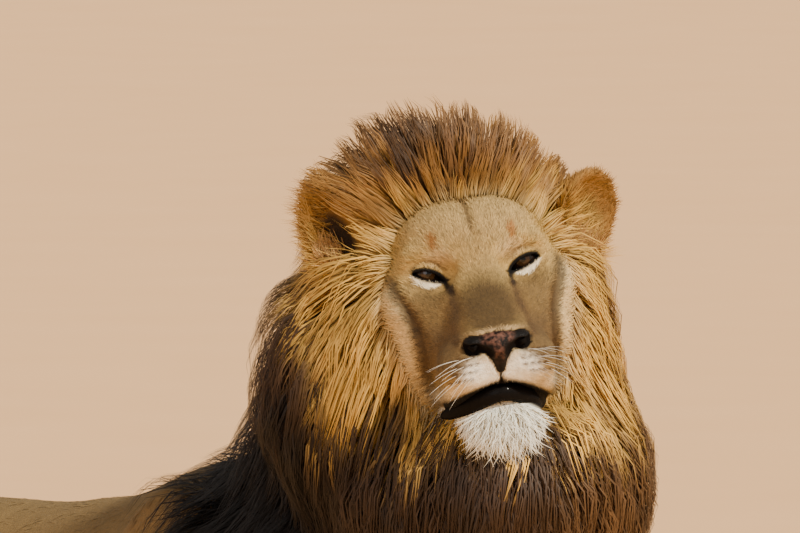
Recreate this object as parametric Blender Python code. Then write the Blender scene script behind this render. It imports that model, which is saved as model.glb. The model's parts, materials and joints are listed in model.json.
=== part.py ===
"""A male lion lying with its head raised, as a still, life-size museum model.

The body is described as named masses: balls and bones, each at its real size, that flow into one
another. Their primitives are joined into one closed form, its surface is drawn onto the masses'
common outline, and thin cuts then part it into head, mane, neck, trunk, legs, paws and tail.
Every outline here is that of the coat's tips. Metres, +Z up, the head towards -Y, +X the lion's left.
"""
import math

import bmesh
import bpy
import numpy as np
from mathutils import Matrix, Vector

# The head turns and tilts about the point midway between the pupils.
EYES_MID = Vector((-0.100, -0.520, 0.785))
HEAD_TURN = math.radians(-35.0)
HEAD_NOD = math.radians(-4.0)
HEAD_TILT = math.radians(-8.3)

GAP = 0.0004                 # between neighbouring nodes
FORM_VOXEL = 0.0075          # of the joined form, before it is thinned
FORM_TRIANGLES = 3050        # as it is thinned
FACE_REACH = 0.170            # the form is thinned less within this of the face's middle
FACE_CARE = 1.7               # how much larger the face is made for that
EAR_VOXEL = 0.0040
EAR_TRIANGLES = 200
EAR_GAP = 0.0045             # between each ear and the mane round it
EAR_ROOM_TRIANGLES = 150
FLAT_ENOUGH = math.radians(0.8)    # faces that meet at less than this become one
EYE_X = 0.0540               # of each eyeball's centre from the head's middle
EYE_BACK = -0.0010           # of it from the plane of the pupils' midpoint
EYE_RADIUS = 0.0190
FACE_HALF_WIDTH = 0.100
MOUTH_FRONT = (-0.140, -0.1290)     # back and up, in the head's frame
MOUTH_CORNER = (-0.058, -0.1620)


def turn_x(degrees):
    return Matrix.Rotation(math.radians(degrees), 3, "X")


def turn_y(degrees):
    return Matrix.Rotation(math.radians(degrees), 3, "Y")


def turn_z(degrees):
    return Matrix.Rotation(math.radians(degrees), 3, "Z")


HEAD_FRAME = (Matrix.Translation(EYES_MID) @ Matrix.Rotation(HEAD_TURN, 4, "Z")
              @ Matrix.Rotation(HEAD_NOD, 4, "X") @ Matrix.Rotation(HEAD_TILT, 4, "Y"))
WORLD = Matrix.Identity(4)


# ---- Masses -------------------------------------------------------------------------------------

class Ball:
    """An ellipsoid, turned about its own centre: added to the form, or sunk into it."""

    def __init__(self, centre, radii, blend=0.03, turn=None, frame=WORLD, sunk=False):
        self.sunk = sunk
        turn = turn or Matrix.Identity(3)
        self.centre = np.array(frame @ Vector(centre))
        self.radii = np.array(radii)
        self.axes = np.array(frame.to_3x3() @ turn)
        self.blend = blend

    def distance(self, points):
        local = (points - self.centre) @ self.axes
        reach = np.sqrt(((local / self.radii) ** 2).sum(1))
        slope = np.sqrt(((local / self.radii ** 2) ** 2).sum(1))
        return reach * (reach - 1) / np.maximum(slope, 1e-9)

    def shell(self, unit):
        return (unit * self.radii) @ self.axes.T + self.centre


class Bone:
    """A round tapered length from one end to the other, flattened by a share along one direction."""

    sunk = False

    def __init__(self, start, end, start_radius, end_radius, blend=0.03, flat=None, frame=WORLD):
        self.start = np.array(frame @ Vector(start))
        self.end = np.array(frame @ Vector(end))
        self.radii = (start_radius, end_radius)
        self.blend = blend
        self.squash = np.eye(3)
        if flat:
            direction = np.array((frame.to_3x3() @ Vector(flat[0])).normalized())
            self.squash += np.outer(direction, direction) * (flat[1] - 1)
        self.unsquash = np.linalg.inv(self.squash)

    def distance(self, points):
        run = (self.end - self.start) @ self.unsquash
        local = (points - self.start) @ self.unsquash
        share = np.clip(local @ run / (run @ run), 0, 1)
        radius = self.radii[0] + share * (self.radii[1] - self.radii[0])
        return np.sqrt(((local - share[:, None] * run) ** 2).sum(1)) - radius

    def shell(self, unit):
        run = Vector((self.end - self.start) @ self.unsquash)
        axes = np.array(run.to_track_quat("Z", "Y").to_matrix())
        ahead = unit[:, 2:3] >= 0
        radius = np.where(ahead, self.radii[1], self.radii[0])
        place = np.where(ahead, np.array(run), 0.0) + (unit * radius) @ axes.T
        return place @ self.squash + self.start


def merge(first, second, blend):
    """The lower of two distances, rounded where they meet."""
    share = np.maximum(blend - np.abs(first - second), 0) / blend
    return np.minimum(first, second) - share * share * blend / 4


def outline(points, masses):
    """Signed distance to the masses' common surface, each added or sunk in its turn."""
    total = masses[0].distance(points)
    for mass in masses[1:]:
        if mass.sunk:
            total = -merge(-total, mass.distance(points), mass.blend)
        else:
            total = merge(total, mass.distance(points), mass.blend)
    return total


def mirrored(make):
    """The masses of both sides, from a function of the side: 1 is the lion's left, -1 its right."""
    return make(1) + make(-1)


# ---- The lion's masses ----------------------------------------------------------------------------

def trunk_masses():
    return [
        Ball((0, 0.120, 0.232), (0.190, 0.400, 0.250)),                   # rib cage
        Ball((0, -0.040, 0.432), (0.085, 0.200, 0.110), 0.07),            # withers
        Ball((0, 0.330, 0.360), (0.075, 0.300, 0.082), 0.08),             # back muscles
        Ball((0, 0.500, 0.250), (0.165, 0.320, 0.205), 0.06),             # loins
        Ball((0, 0.420, 0.150), (0.185, 0.350, 0.165), 0.05),             # belly
        Ball((0, 0.780, 0.285), (0.155, 0.220, 0.185), 0.06),             # pelvis
        Ball((0, 0.800, 0.150), (0.120, 0.165, 0.152), 0.06),             # between the thighs
    ] + mirrored(lambda side: [
        Ball((side * 0.120, -0.030, 0.362), (0.055, 0.130, 0.155), 0.06),  # shoulder blade
        Ball((side * 0.090, 0.860, 0.250), (0.090, 0.120, 0.160), 0.05),   # rump
        Ball((side * 0.075, 0.700, 0.400), (0.060, 0.090, 0.070), 0.06),   # hip
    ])


def foreleg_masses(side, reach):
    """One foreleg, from the shoulder to the claws, stretched forward by its own reach."""
    return [
        Ball((side * 0.160, -0.130, 0.270), (0.075, 0.150, 0.185), 0.05),
        Bone((side * 0.170, -0.190, 0.260), (side * 0.183, 0.030, 0.105), 0.082, 0.060, 0.03),
        Ball((side * 0.183, -0.020, 0.200), (0.060, 0.110, 0.115), 0.04),            # triceps
        Bone((side * 0.183, 0.020, 0.068), (side * 0.158, -0.330 - reach, 0.044), 0.068, 0.045, 0.02),
        Ball((side * 0.188, 0.056, 0.050), (0.046, 0.052, 0.052), 0.02),             # elbow
        Ball((side * 0.150, -0.425 - reach, 0.043), (0.060, 0.085, 0.044), 0.02),    # paw
    ] + toe_masses(side * 0.148, -0.490 - reach, 0.033, side)


def toe_masses(across, ahead, height, side):
    """Four toes side by side, the middle two reaching further."""
    spread = (-0.043, -0.015, 0.015, 0.043)
    lag = (0.022, 0.002, 0.0, 0.018)
    return [Ball((across + side * offset, ahead + back, height), (0.0185, 0.044, 0.031), 0.007,
                 turn_z(-9 * side * offset / 0.043))
            for offset, back in zip(spread, lag)]


def hind_leg_masses(side):
    return [
        Bone((side * 0.115, 0.760, 0.305), (side * 0.225, 0.480, 0.220), 0.150, 0.085, 0.05,
             ((1, 0.35, 0), 0.74)),                                                  # thigh
        Ball((side * 0.165, 0.790, 0.162), (0.085, 0.135, 0.152), 0.05),             # its back
        Ball((side * 0.232, 0.450, 0.213), (0.058, 0.066, 0.070), 0.04),             # knee
        Bone((side * 0.236, 0.470, 0.190), (side * 0.236, 0.800, 0.064), 0.068, 0.040, 0.025),
        Ball((side * 0.232, 0.570, 0.150), (0.050, 0.120, 0.070), 0.03),             # calf
        Ball((side * 0.236, 0.850, 0.060), (0.034, 0.036, 0.036), 0.02),             # heel
        Bone((side * 0.240, 0.810, 0.048), (side * 0.252, 0.590, 0.041), 0.041, 0.037, 0.015),
        Ball((side * 0.258, 0.510, 0.040), (0.052, 0.080, 0.041), 0.02),             # paw
    ] + toe_masses(side * 0.258, 0.448, 0.031, side)


TAIL_ROOT = Vector((0, 0.920, 0.335))
TAIL_DROP = Vector((0, 1.060, 0.240))          # what it curves towards on its way to the floor
TAIL_LANDING = Vector((0.060, 1.100, 0.033))
TAIL_CURL_CENTRE = Vector((0.200, 0.850, 0.027))
TAIL_CURL_END = math.radians(-15)
TAIL_TUFT_LENGTH = 0.220


def tail_route(drop_steps=5, curl_steps=10):
    """Down from the rump, then round on the floor to the lion's left, ending where the tuft begins."""
    route = []
    for step in range(drop_steps):
        share = step / drop_steps
        route.append(TAIL_ROOT.lerp(TAIL_DROP, share).lerp(TAIL_DROP.lerp(TAIL_LANDING, share), share))
    arm = TAIL_LANDING - TAIL_CURL_CENTRE
    first = math.atan2(arm.y, arm.x)
    for step in range(curl_steps + 1):
        share = step / curl_steps
        angle = first + (TAIL_CURL_END - first) * share
        height = TAIL_LANDING.z + (TAIL_CURL_CENTRE.z - TAIL_LANDING.z) * share
        reach = math.hypot(arm.x, arm.y)
        route.append(Vector((TAIL_CURL_CENTRE.x + reach * math.cos(angle),
                             TAIL_CURL_CENTRE.y + reach * math.sin(angle), height)))
    return route


def tail_masses():
    route = tail_route()
    last = len(route) - 1
    lengths = []
    for index, (start, end) in enumerate(zip(route[:-1], route[1:])):
        first, second = (0.042 - 0.018 * (index + step) / last for step in (0, 1))
        lengths.append(Bone(start, end, first, second, 0.01))
    ahead = Vector((math.sin(TAIL_CURL_END), -math.cos(TAIL_CURL_END), 0.05))
    middle = route[-1] + ahead * TAIL_TUFT_LENGTH * 0.45 + Vector((0, 0, 0.008))
    tip = route[-1] + ahead * TAIL_TUFT_LENGTH
    return lengths + [Bone(route[-1], middle, 0.024, 0.045, 0.02), Bone(middle, tip, 0.045, 0.012, 0.02)]


def face_masses():
    """The skull and face, in the head's own frame: -Y is the way it looks."""
    def ball(centre, radii, blend, turn=None):
        return Ball(centre, radii, blend, turn, HEAD_FRAME)

    def bone(start, end, first, last, blend, flat=None):
        return Bone(start, end, first, last, blend, flat, HEAD_FRAME)

    middle = [
        ball((0, 0.085, 0.000), (0.098, 0.118, 0.084), 0.03),                    # braincase
        ball((0, 0.020, 0.006), (0.076, 0.066, 0.062), 0.03),                    # frontal bone
        bone((0, -0.016, -0.010), (0, -0.122, -0.0860), 0.0330, 0.0310, 0.022),   # bridge of the nose
        ball((0, -0.062, -0.092), (0.064, 0.074, 0.054), 0.02),                  # muzzle bone
        ball((0, -0.096, -0.110), (0.040, 0.043, 0.030), 0.012),                 # upper lip
        ball((0, -0.078, -0.170), (0.049, 0.040, 0.040), 0.018),                 # chin
        ball((0, -0.1300, -0.0890), (0.0375, 0.0190, 0.0200), 0.010, turn_x(-20)),   # nose
    ]

    def socket(side):
        """The hollow that the eye lies in, and the lids over the eyeball."""
        return [
            Ball((side * 0.053, -0.036, -0.004), (0.027, 0.016, 0.016), 0.018, None, HEAD_FRAME, True),
            ball((side * EYE_X, EYE_BACK, 0), (EYE_RADIUS + 0.0035,) * 3, 0.010),
        ]

    def side_masses(side):
        return [
            ball((side * 0.032, 0.028, 0.034), (0.044, 0.048, 0.036), 0.02),              # forehead
            bone((side * 0.016, -0.030, -0.022), (side * 0.019, -0.120, -0.0860), 0.0290, 0.0290, 0.014),
            ball((side * 0.072, 0.030, -0.036), (0.036, 0.062, 0.036), 0.05, turn_z(14 * side)),
            ball((side * 0.052, -0.014, -0.074), (0.036, 0.050, 0.046), 0.035),           # cheek
            ball((side * 0.066, 0.052, -0.088), (0.046, 0.074, 0.066), 0.03),             # chewing muscle
            bone((side * 0.020, -0.062, -0.160), (side * 0.062, 0.060, -0.122), 0.030, 0.046, 0.02),
            ball((side * 0.048, -0.008, 0.022), (0.032, 0.016, 0.012), 0.020, turn_y(8 * side)),   # brow
            ball((side * 0.060, -0.004, -0.030), (0.028, 0.020, 0.014), 0.02),            # under the eye
            ball((side * 0.0360, -0.0960, -0.1090), (0.0370, 0.0480, 0.0350), 0.012),     # whisker pad
            ball((side * 0.0480, -0.0620, -0.1300), (0.0260, 0.0440, 0.0300), 0.016),     # flew
        ]
    return middle + mirrored(side_masses) + mirrored(socket)


# Each ear: its cup's middle, the way it opens, and the way it stands up, in the head's frame.
EARS = {1: ((0.142, 0.098, 0.040), (0.45, -0.86, -0.20), (0.42, 0.05, 0.90)),
        -1: ((-0.140, 0.098, 0.062), (-0.30, -0.94, 0.00), (-0.30, 0.05, 0.95))}
EAR_RADII = (0.042, 0.021, 0.054)
EAR_HOLLOW_RADII = (0.031, 0.018, 0.042)


def ear_axes(side):
    """The ear's own axes as a turn: across, through and up."""
    _, opening, up = EARS[side]
    through = -Vector(opening).normalized()
    across = through.cross(Vector(up)).normalized()
    return Matrix((across, through, across.cross(through))).transposed()


def ear_masses(side, room=0.0):
    """An ear's cup on its root, or, with room round it, the solid shape that the mane leaves it."""
    centre = Vector(EARS[side][0])
    turn = ear_axes(side)
    root = Vector((side * 0.088, 0.090, 0.000))
    cup = centre - turn.col[1] * 0.015 + turn.col[2] * 0.002
    masses = [Ball(centre, [radius + room for radius in EAR_RADII], 0.02, turn, HEAD_FRAME),
              Bone(centre - turn.col[2] * 0.032, root, 0.026 + room, 0.030 + room, 0.02, None, HEAD_FRAME)]
    if not room:
        masses.append(Ball(cup, EAR_HOLLOW_RADII, 0.006, turn, HEAD_FRAME, True))
    return masses


def mane_masses():
    def ball(centre, radii, blend, turn=None):
        return Ball(centre, radii, blend, turn, HEAD_FRAME)

    behind_skull = HEAD_FRAME @ Vector((0, 0.170, -0.010))
    return [
        ball((-0.030, 0.120, 0.072), (0.138, 0.085, 0.104), 0.02),                    # crest
        ball((0.092, 0.085, -0.080), (0.056, 0.085, 0.145), 0.02),                    # left ruff
        ball((-0.100, 0.085, -0.080), (0.064, 0.085, 0.145), 0.02),                   # right ruff
        ball((0.085, 0.070, -0.235), (0.080, 0.085, 0.130), 0.03),                    # their falls
        ball((-0.085, 0.070, -0.235), (0.080, 0.085, 0.130), 0.03),
        ball((0, 0.020, -0.250), (0.115, 0.095, 0.105), 0.03),                        # throat
        Bone((-0.060, -0.425, 0.520), (0, -0.300, 0.390), 0.112, 0.160, 0.06),       # below it
        ball((-0.115, 0.150, -0.120), (0.135, 0.115, 0.165), 0.04),                   # off side of the neck
        Bone(behind_skull, (0.010, -0.130, 0.420), 0.145, 0.150, 0.05),               # neck
        Ball((0, -0.250, 0.300), (0.225, 0.160, 0.270), 0.06),                        # chest
        Ball((0, -0.130, 0.385), (0.190, 0.140, 0.150), 0.05),                        # over the shoulders
    ]


def body_masses():
    return (trunk_masses() + foreleg_masses(1, 0.0) + foreleg_masses(-1, 0.045)
            + mirrored(hind_leg_masses) + tail_masses())


# ---- Making and shaping meshes ------------------------------------------------------------------

def coordinates(mesh, kind="co"):
    flat = np.empty(len(mesh.vertices) * 3, np.float32)
    mesh.vertices.foreach_get(kind, flat)
    return flat.reshape(-1, 3).astype(float)


def set_coordinates(mesh, places):
    mesh.vertices.foreach_set("co", places.astype(np.float32).ravel())
    mesh.update()


def select_only(thing):
    bpy.ops.object.select_all(action="DESELECT")
    thing.select_set(True)
    bpy.context.view_layer.objects.active = thing


def apply_modifier(thing, modifier):
    select_only(thing)
    bpy.ops.object.modifier_apply(modifier=modifier.name)


def joined_form(name, masses, voxel):
    """The masses' own primitives, joined and remeshed into one closed surface."""
    shells = []
    for mass in [mass for mass in masses if not mass.sunk]:
        bpy.ops.mesh.primitive_ico_sphere_add(subdivisions=4, radius=1)
        shell = bpy.context.object
        set_coordinates(shell.data, mass.shell(coordinates(shell.data)))
        shells.append(shell)
    for shell in shells:
        shell.select_set(True)
    bpy.context.view_layer.objects.active = shells[0]
    bpy.ops.object.join()
    form = bpy.context.object
    form.name = name
    remesh(form, voxel)
    return form


def remesh(form, voxel):
    modifier = form.modifiers.new("one skin", "REMESH")
    modifier.mode = "VOXEL"
    modifier.voxel_size = voxel
    apply_modifier(form, modifier)


def draw_onto(form, masses, steps=8, reach=0.006):
    """Slide each vertex along its normal until it lies on the masses' common outline."""
    for _ in range(steps):
        places = coordinates(form.data)
        distances = outline(places, masses)
        move = np.clip(distances * 0.8, -reach, reach)[:, None] * coordinates(form.data, "normal")
        set_coordinates(form.data, places - move)


def form_from(name, masses, voxel):
    """One closed surface on the masses' common outline."""
    form = joined_form(name, masses, voxel)
    draw_onto(form, masses)
    remesh(form, voxel)
    draw_onto(form, masses, 4)
    return form


def magnify_face(form, undo=False):
    """Swell what lies near the face, or shrink it back, so that thinning spends more faces there."""
    centre = np.array(HEAD_FRAME @ Vector((0, -0.050, -0.060)))
    swelling = FACE_REACH * (FACE_CARE - 1)
    offsets = coordinates(form.data) - centre
    distances = np.linalg.norm(offsets, axis=1)
    if undo:
        changed = np.where(distances < FACE_REACH * FACE_CARE, distances / FACE_CARE, distances - swelling)
    else:
        changed = np.where(distances < FACE_REACH, distances * FACE_CARE, distances + swelling)
    set_coordinates(form.data, centre + offsets * (changed / distances)[:, None])


def thin_out(form, triangles):
    """Fewer, larger triangles, spent where the surface bends most."""
    bpy.context.view_layer.objects.active = form
    count = sum(len(face.vertices) - 2 for face in form.data.polygons)
    modifier = form.modifiers.new("fewer faces", "DECIMATE")
    modifier.ratio = triangles / count
    apply_modifier(form, modifier)


# ---- Cutting the form into its parts ----------------------------------------------------------------

def block(planes, grow=0.0):
    """A convex cutter: all that lies behind every plane, each a point and its outward direction."""
    bpy.ops.mesh.primitive_cube_add(size=6)
    cutter = bpy.context.object
    mesh = bmesh.new()
    mesh.from_mesh(cutter.data)
    for point, outward in planes:
        outward = Vector(outward).normalized()
        everything = mesh.verts[:] + mesh.edges[:] + mesh.faces[:]
        cut = bmesh.ops.bisect_plane(mesh, geom=everything, dist=1e-6, plane_no=outward,
                                     plane_co=Vector(point) + outward * grow, clear_outer=True)
        rim = [piece for piece in cut["geom_cut"] if isinstance(piece, bmesh.types.BMEdge)]
        bmesh.ops.contextual_create(mesh, geom=rim)
    bmesh.ops.recalc_face_normals(mesh, faces=mesh.faces)
    mesh.to_mesh(cutter.data)
    mesh.free()
    return cutter


def head_planes(*planes):
    """Planes given in the head's frame, as planes in the lion's."""
    return [(HEAD_FRAME @ Vector(point), HEAD_FRAME.to_3x3() @ Vector(outward))
            for point, outward in planes]


def cut_with(form, cutter, operation):
    modifier = form.modifiers.new("cut", "BOOLEAN")
    modifier.operation = operation
    modifier.object = cutter
    apply_modifier(form, modifier)
    bpy.data.objects.remove(cutter)
    keep_main_body(form)


def keep_main_body(form):
    """Drop the slivers that a cut can leave beside the part it makes."""
    mesh = bmesh.new()
    mesh.from_mesh(form.data)
    unseen = set(mesh.verts)
    bodies = []
    while unseen:
        reached = [unseen.pop()]
        for vertex in reached:
            for edge in vertex.link_edges:
                other = edge.other_vert(vertex)
                if other in unseen:
                    unseen.remove(other)
                    reached.append(other)
        bodies.append(reached)
    bodies.sort(key=len)
    for body in bodies[:-1]:
        bmesh.ops.delete(mesh, geom=body, context="VERTS")
    bmesh.ops.dissolve_degenerate(mesh, dist=2e-5, edges=mesh.edges)
    bmesh.ops.dissolve_limit(mesh, angle_limit=FLAT_ENOUGH, verts=mesh.verts, edges=mesh.edges)
    bmesh.ops.triangulate(mesh, faces=mesh.faces)
    mesh.to_mesh(form.data)
    mesh.free()


def duplicate(form, name):
    twin = form.copy()
    twin.data = form.data.copy()
    twin.name = name
    bpy.context.collection.objects.link(twin)
    return twin


def split_off(form, name, planes):
    """Part the form along a block: what is inside becomes its own node, a gap away from the rest."""
    piece = duplicate(form, name)
    cut_with(piece, block(planes), "INTERSECT")
    cut_with(form, block(planes, GAP), "DIFFERENCE")
    return piece


# ---- The parts ----------------------------------------------------------------------------------

def make_eye(side):
    """An eyeball, looking the way the head does."""
    bpy.ops.mesh.primitive_uv_sphere_add(segments=14, ring_count=8, radius=EYE_RADIUS)
    eye = bpy.context.object
    eye.name = side_name("eye", side)
    eye.data.transform(HEAD_FRAME @ Matrix.Translation((side * EYE_X, EYE_BACK, 0))
                       @ Matrix.Rotation(math.radians(90), 4, "X"))
    return eye


def open_lids(form, side):
    """Make room for the eyeball and open the almond between the lids, higher at its outer corner."""
    bpy.ops.mesh.primitive_uv_sphere_add(segments=14, ring_count=8, radius=EYE_RADIUS + GAP)
    room = bpy.context.object
    room.data.transform(HEAD_FRAME @ Matrix.Translation((side * EYE_X, EYE_BACK, 0))
                        @ Matrix.Rotation(math.radians(90), 4, "X"))
    bpy.ops.mesh.primitive_ico_sphere_add(subdivisions=2, radius=1)
    almond = bpy.context.object
    almond.data.transform(HEAD_FRAME @ Matrix.Translation((side * EYE_X, EYE_BACK - EYE_RADIUS - 0.002, 0))
                          @ Matrix.Rotation(math.radians(-14 * side), 4, "Y")
                          @ Matrix.Diagonal((0.0185, 0.0140, 0.0070, 1)))
    cut_with(room, almond, "UNION")
    cut_with(form, room, "DIFFERENCE")


def make_ear(side):
    ear = form_from(side_name("ear", side), ear_masses(side), EAR_VOXEL)
    thin_out(ear, EAR_TRIANGLES)
    return ear


def make_room_for_ear(form, side):
    room = form_from("room", ear_masses(side, EAR_GAP), EAR_VOXEL)
    thin_out(room, EAR_ROOM_TRIANGLES)
    cut_with(form, room, "DIFFERENCE")


def side_name(part, side):
    return f"{part}_left" if side > 0 else f"{part}_right"


def split_face(form):
    """Nose, lower jaw and the rest of the head, up to the hairline."""
    rise = Vector((0, MOUTH_CORNER[0] - MOUTH_FRONT[0], MOUTH_CORNER[1] - MOUTH_FRONT[1]))
    above_mouth = rise.cross(Vector((-1, 0, 0)))
    parts = [split_off(form, "nose", head_planes(
        ((0.0385, 0, 0), (1, 0, 0.12)), ((-0.0385, 0, 0), (-1, 0, 0.12)), ((0, -0.118, 0), (0, 1, 0)),
        ((0, 0, -0.0720), (0, 0, 1)), ((0, 0, -0.1150), (0, 0, -1))))]
    parts.append(split_off(form, "lower_jaw", head_planes(
        ((0, *MOUTH_FRONT), above_mouth), ((0, -0.020, 0), (0, 1, 0)), ((0.072, 0, 0), (1, 0, 0)),
        ((-0.072, 0, 0), (-1, 0, 0)), ((0, 0, -0.222), (0, 0, -1)))))
    parts.append(split_off(form, "head", head_planes(
        ((FACE_HALF_WIDTH, 0, 0.010), (1, 0.10, -0.22)), ((-FACE_HALF_WIDTH, 0, 0.010), (-1, 0.10, -0.22)),
        ((0.090, 0, 0.040), (1, 0, 0.50)), ((-0.090, 0, 0.040), (-1, 0, 0.50)),
        ((0, 0.020, 0.086), (0, -0.15, 1)), ((0, 0.120, 0), (0, 1, 0)),
        ((0, 0, -0.185), (0, 0, -1)))))
    return parts


def split_mane(form):
    parts = [split_off(form, "mane_crest", head_planes(
        ((0, 0, 0.035), (0, 0, -1)), ((0, 0.215, 0), (0, 1, 0))))]
    for side in (1, -1):
        parts.append(split_off(form, side_name("mane_ruff", side), head_planes(
            ((side * 0.045, 0, 0), (-side, 0, 0)), ((0, 0.130, 0), (0, 1, 0)), ((0, 0, -0.330), (0, 0, -1)))))
    parts.append(split_off(form, "mane_throat", head_planes(
        ((0, 0.130, 0), (0, 1, 0)), ((0, 0, -0.330), (0, 0, -1)))))
    parts.append(split_off(form, "neck", [((0, 0, 0.475), (0, 0, -1)), ((0, 0.010, 0.560), (0, 1, 0.35))]))
    parts.append(split_off(form, "mane_chest", [((0, -0.215, 0), (0, 1, 0))]))
    return parts


def split_foreleg(form, side, reach):
    wrist = -0.335 - reach
    return [
        split_off(form, side_name("forepaw", side), [
            ((side * 0.060, 0, 0), (-side, 0, 0)), ((0, wrist, 0), (0, 1, 0)), ((0, 0, 0.125), (0, 0, 1))]),
        split_off(form, side_name("forearm", side), [
            ((side * 0.105, 0, 0), (-side, 0, 0)), ((0, 0.110, 0), (0, 1, 0)), ((0, 0, 0.125), (0, 0, 1))]),
        split_off(form, side_name("upper_foreleg", side), [
            ((side * 0.125, 0, 0), (-side, 0, 0)), ((0, -0.300, 0), (0, -1, 0)), ((0, 0.120, 0), (0, 1, 0)),
            ((0, 0, 0.340), (0, 0, 1))]),
    ]


def split_hind_leg(form, side):
    outward = (-side, 0, 0)
    clear_of_tail = ((side * 0.350, 0, 0), (side, 0, 0))
    before_knee = ((0, 0.350, 0), (0, -1, 0))
    return [
        split_off(form, side_name("hind_foot", side), [
            clear_of_tail, before_knee, ((side * 0.196, 0, 0), outward), ((0, 0.640, 0), (0, 1, 0)),
            ((0, 0, 0.088), (0, 0, 1))]),
        split_off(form, side_name("shank", side), [
            clear_of_tail, before_knee, ((side * 0.186, 0, 0), outward), ((0, 0.910, 0), (0, 1, 0)),
            ((0, 0.600, 0.140), (0, 0.25, 1))]),
        split_off(form, side_name("thigh", side), [
            clear_of_tail, before_knee, ((side * 0.100, 0, 0), outward), ((0, 0.930, 0), (0, 1, 0)),
            ((0, 0, 0.420), (0, 0, 1))]),
    ]


def split_tail(form):
    return [
        split_off(form, "tail_tuft", [((0.350, 0, 0), (-1, 0, 0)), ((0, 0.770, 0), (0, 1, 0))]),
        split_off(form, "tail_end", [((0.350, 0, 0), (-1, 0, 0))]),
        split_off(form, "tail_middle", [((0.085, 0, 0), (-1, 0, 0)), ((0, 0.980, 0), (0, -1, 0))]),
        split_off(form, "tail_root", [((0, 0.970, 0), (0, -1, 0))]),
    ]


def split_trunk(form):
    parts = [split_off(form, "chest", [((0, 0.300, 0), (0, 1, 0))]),
             split_off(form, "loins", [((0, 0.620, 0), (0, 1, 0))])]
    form.name = "rump"
    return parts + [form]


COLOURS = {
    "nose": ((0.018, 0.011, 0.009), 0.45),
    "eye": ((0.030, 0.014, 0.005), 0.10),
    "mane_crest": ((0.200, 0.075, 0.022), 0.85),
    "mane_ruff": ((0.360, 0.175, 0.055), 0.85),
    "mane_throat": ((0.030, 0.016, 0.009), 0.85),
    "mane_chest": ((0.030, 0.016, 0.009), 0.85),
    "neck": ((0.050, 0.028, 0.014), 0.85),
    "tail_tuft": ((0.020, 0.012, 0.008), 0.85),
    "lower_jaw": ((0.560, 0.510, 0.420), 0.85),
    "head": ((0.360, 0.250, 0.130), 0.85),
}
COAT_COLOUR = ((0.230, 0.135, 0.058), 0.85)


def give_material(thing):
    matches = [name for name in COLOURS if thing.name.startswith(name)]
    colour, roughness = COLOURS[max(matches, key=len)] if matches else COAT_COLOUR
    material = bpy.data.materials.new(thing.name + " coat")
    material.use_nodes = True
    shader = material.node_tree.nodes["Principled BSDF"]
    shader.inputs["Base Color"].default_value = (*colour, 1)
    shader.inputs["Roughness"].default_value = roughness
    shader.inputs["Metallic"].default_value = 0
    thing.data.materials.clear()
    thing.data.materials.append(material)
    if thing.name.startswith("eye"):
        thing.data.shade_smooth()


def main():
    for left_over in list(bpy.data.objects):
        bpy.data.objects.remove(left_over)
    form = form_from("form", body_masses() + face_masses() + mane_masses(), FORM_VOXEL)
    magnify_face(form)
    thin_out(form, FORM_TRIANGLES)
    magnify_face(form, undo=True)
    cut_with(form, block([((0, 0, 0), (0, 0, -1))]), "INTERSECT")
    parts = []
    for side in (1, -1):
        make_room_for_ear(form, side)
        open_lids(form, side)
        parts += [make_ear(side), make_eye(side)]
    parts += split_face(form)
    parts += split_foreleg(form, 1, 0.0) + split_foreleg(form, -1, 0.045)
    parts += split_mane(form)
    parts += split_hind_leg(form, 1) + split_hind_leg(form, -1)
    parts += split_tail(form) + split_trunk(form)
    for part in parts:
        give_material(part)
    print(len(parts), "nodes,", sum(len(part.data.polygons) for part in parts), "triangles")


main()
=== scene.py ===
# %% [markdown]
# # A lying male lion
# This notebook dresses a lion that was first built as plain solids: one skin under everything, then
# the face, the eyes, a coat of short tufts and a mane of long locks.
# The solids reach out to the tips of the coat, so each skin and each hair here stays inside them.
# Everything is in metres, +Z is up, and the lion looks roughly towards -Y.

import json
import math

import bmesh
import bpy
import numpy as np
from mathutils import Matrix, Vector
from mathutils.bvhtree import BVHTree
from mathutils.kdtree import KDTree

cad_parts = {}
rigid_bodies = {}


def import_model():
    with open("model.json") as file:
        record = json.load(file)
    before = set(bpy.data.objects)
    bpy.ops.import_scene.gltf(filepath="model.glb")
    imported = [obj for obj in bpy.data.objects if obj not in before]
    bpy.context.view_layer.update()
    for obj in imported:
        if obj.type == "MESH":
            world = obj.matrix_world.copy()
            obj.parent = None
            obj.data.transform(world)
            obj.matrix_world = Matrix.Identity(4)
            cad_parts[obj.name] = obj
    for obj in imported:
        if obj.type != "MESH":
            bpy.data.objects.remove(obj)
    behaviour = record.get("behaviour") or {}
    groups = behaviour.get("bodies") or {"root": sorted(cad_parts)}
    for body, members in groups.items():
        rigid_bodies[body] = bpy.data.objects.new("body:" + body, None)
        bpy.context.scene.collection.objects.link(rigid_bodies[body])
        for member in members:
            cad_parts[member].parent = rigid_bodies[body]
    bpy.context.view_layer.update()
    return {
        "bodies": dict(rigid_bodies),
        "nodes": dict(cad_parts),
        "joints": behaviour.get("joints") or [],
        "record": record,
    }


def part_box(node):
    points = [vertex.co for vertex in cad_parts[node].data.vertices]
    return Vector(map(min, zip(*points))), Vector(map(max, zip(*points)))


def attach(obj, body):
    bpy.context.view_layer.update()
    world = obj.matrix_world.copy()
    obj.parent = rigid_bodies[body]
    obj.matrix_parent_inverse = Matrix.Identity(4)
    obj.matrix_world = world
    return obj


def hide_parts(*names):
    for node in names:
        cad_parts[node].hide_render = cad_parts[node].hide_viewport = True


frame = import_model()

# %% [markdown]
# ## Small helpers
# An operator works on whatever is selected, so each step first selects just what it means to change.
# Vertex places are read and written as whole arrays, which is far quicker than one at a time.

# %% Selecting, reading and writing meshes
SIDES = {1: "left", -1: "right"}  # of the lion, as its own X goes
FACE_ON = np.array((1, 0, 1))  # times a place in the head's frame: what is seen from the front


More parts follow.
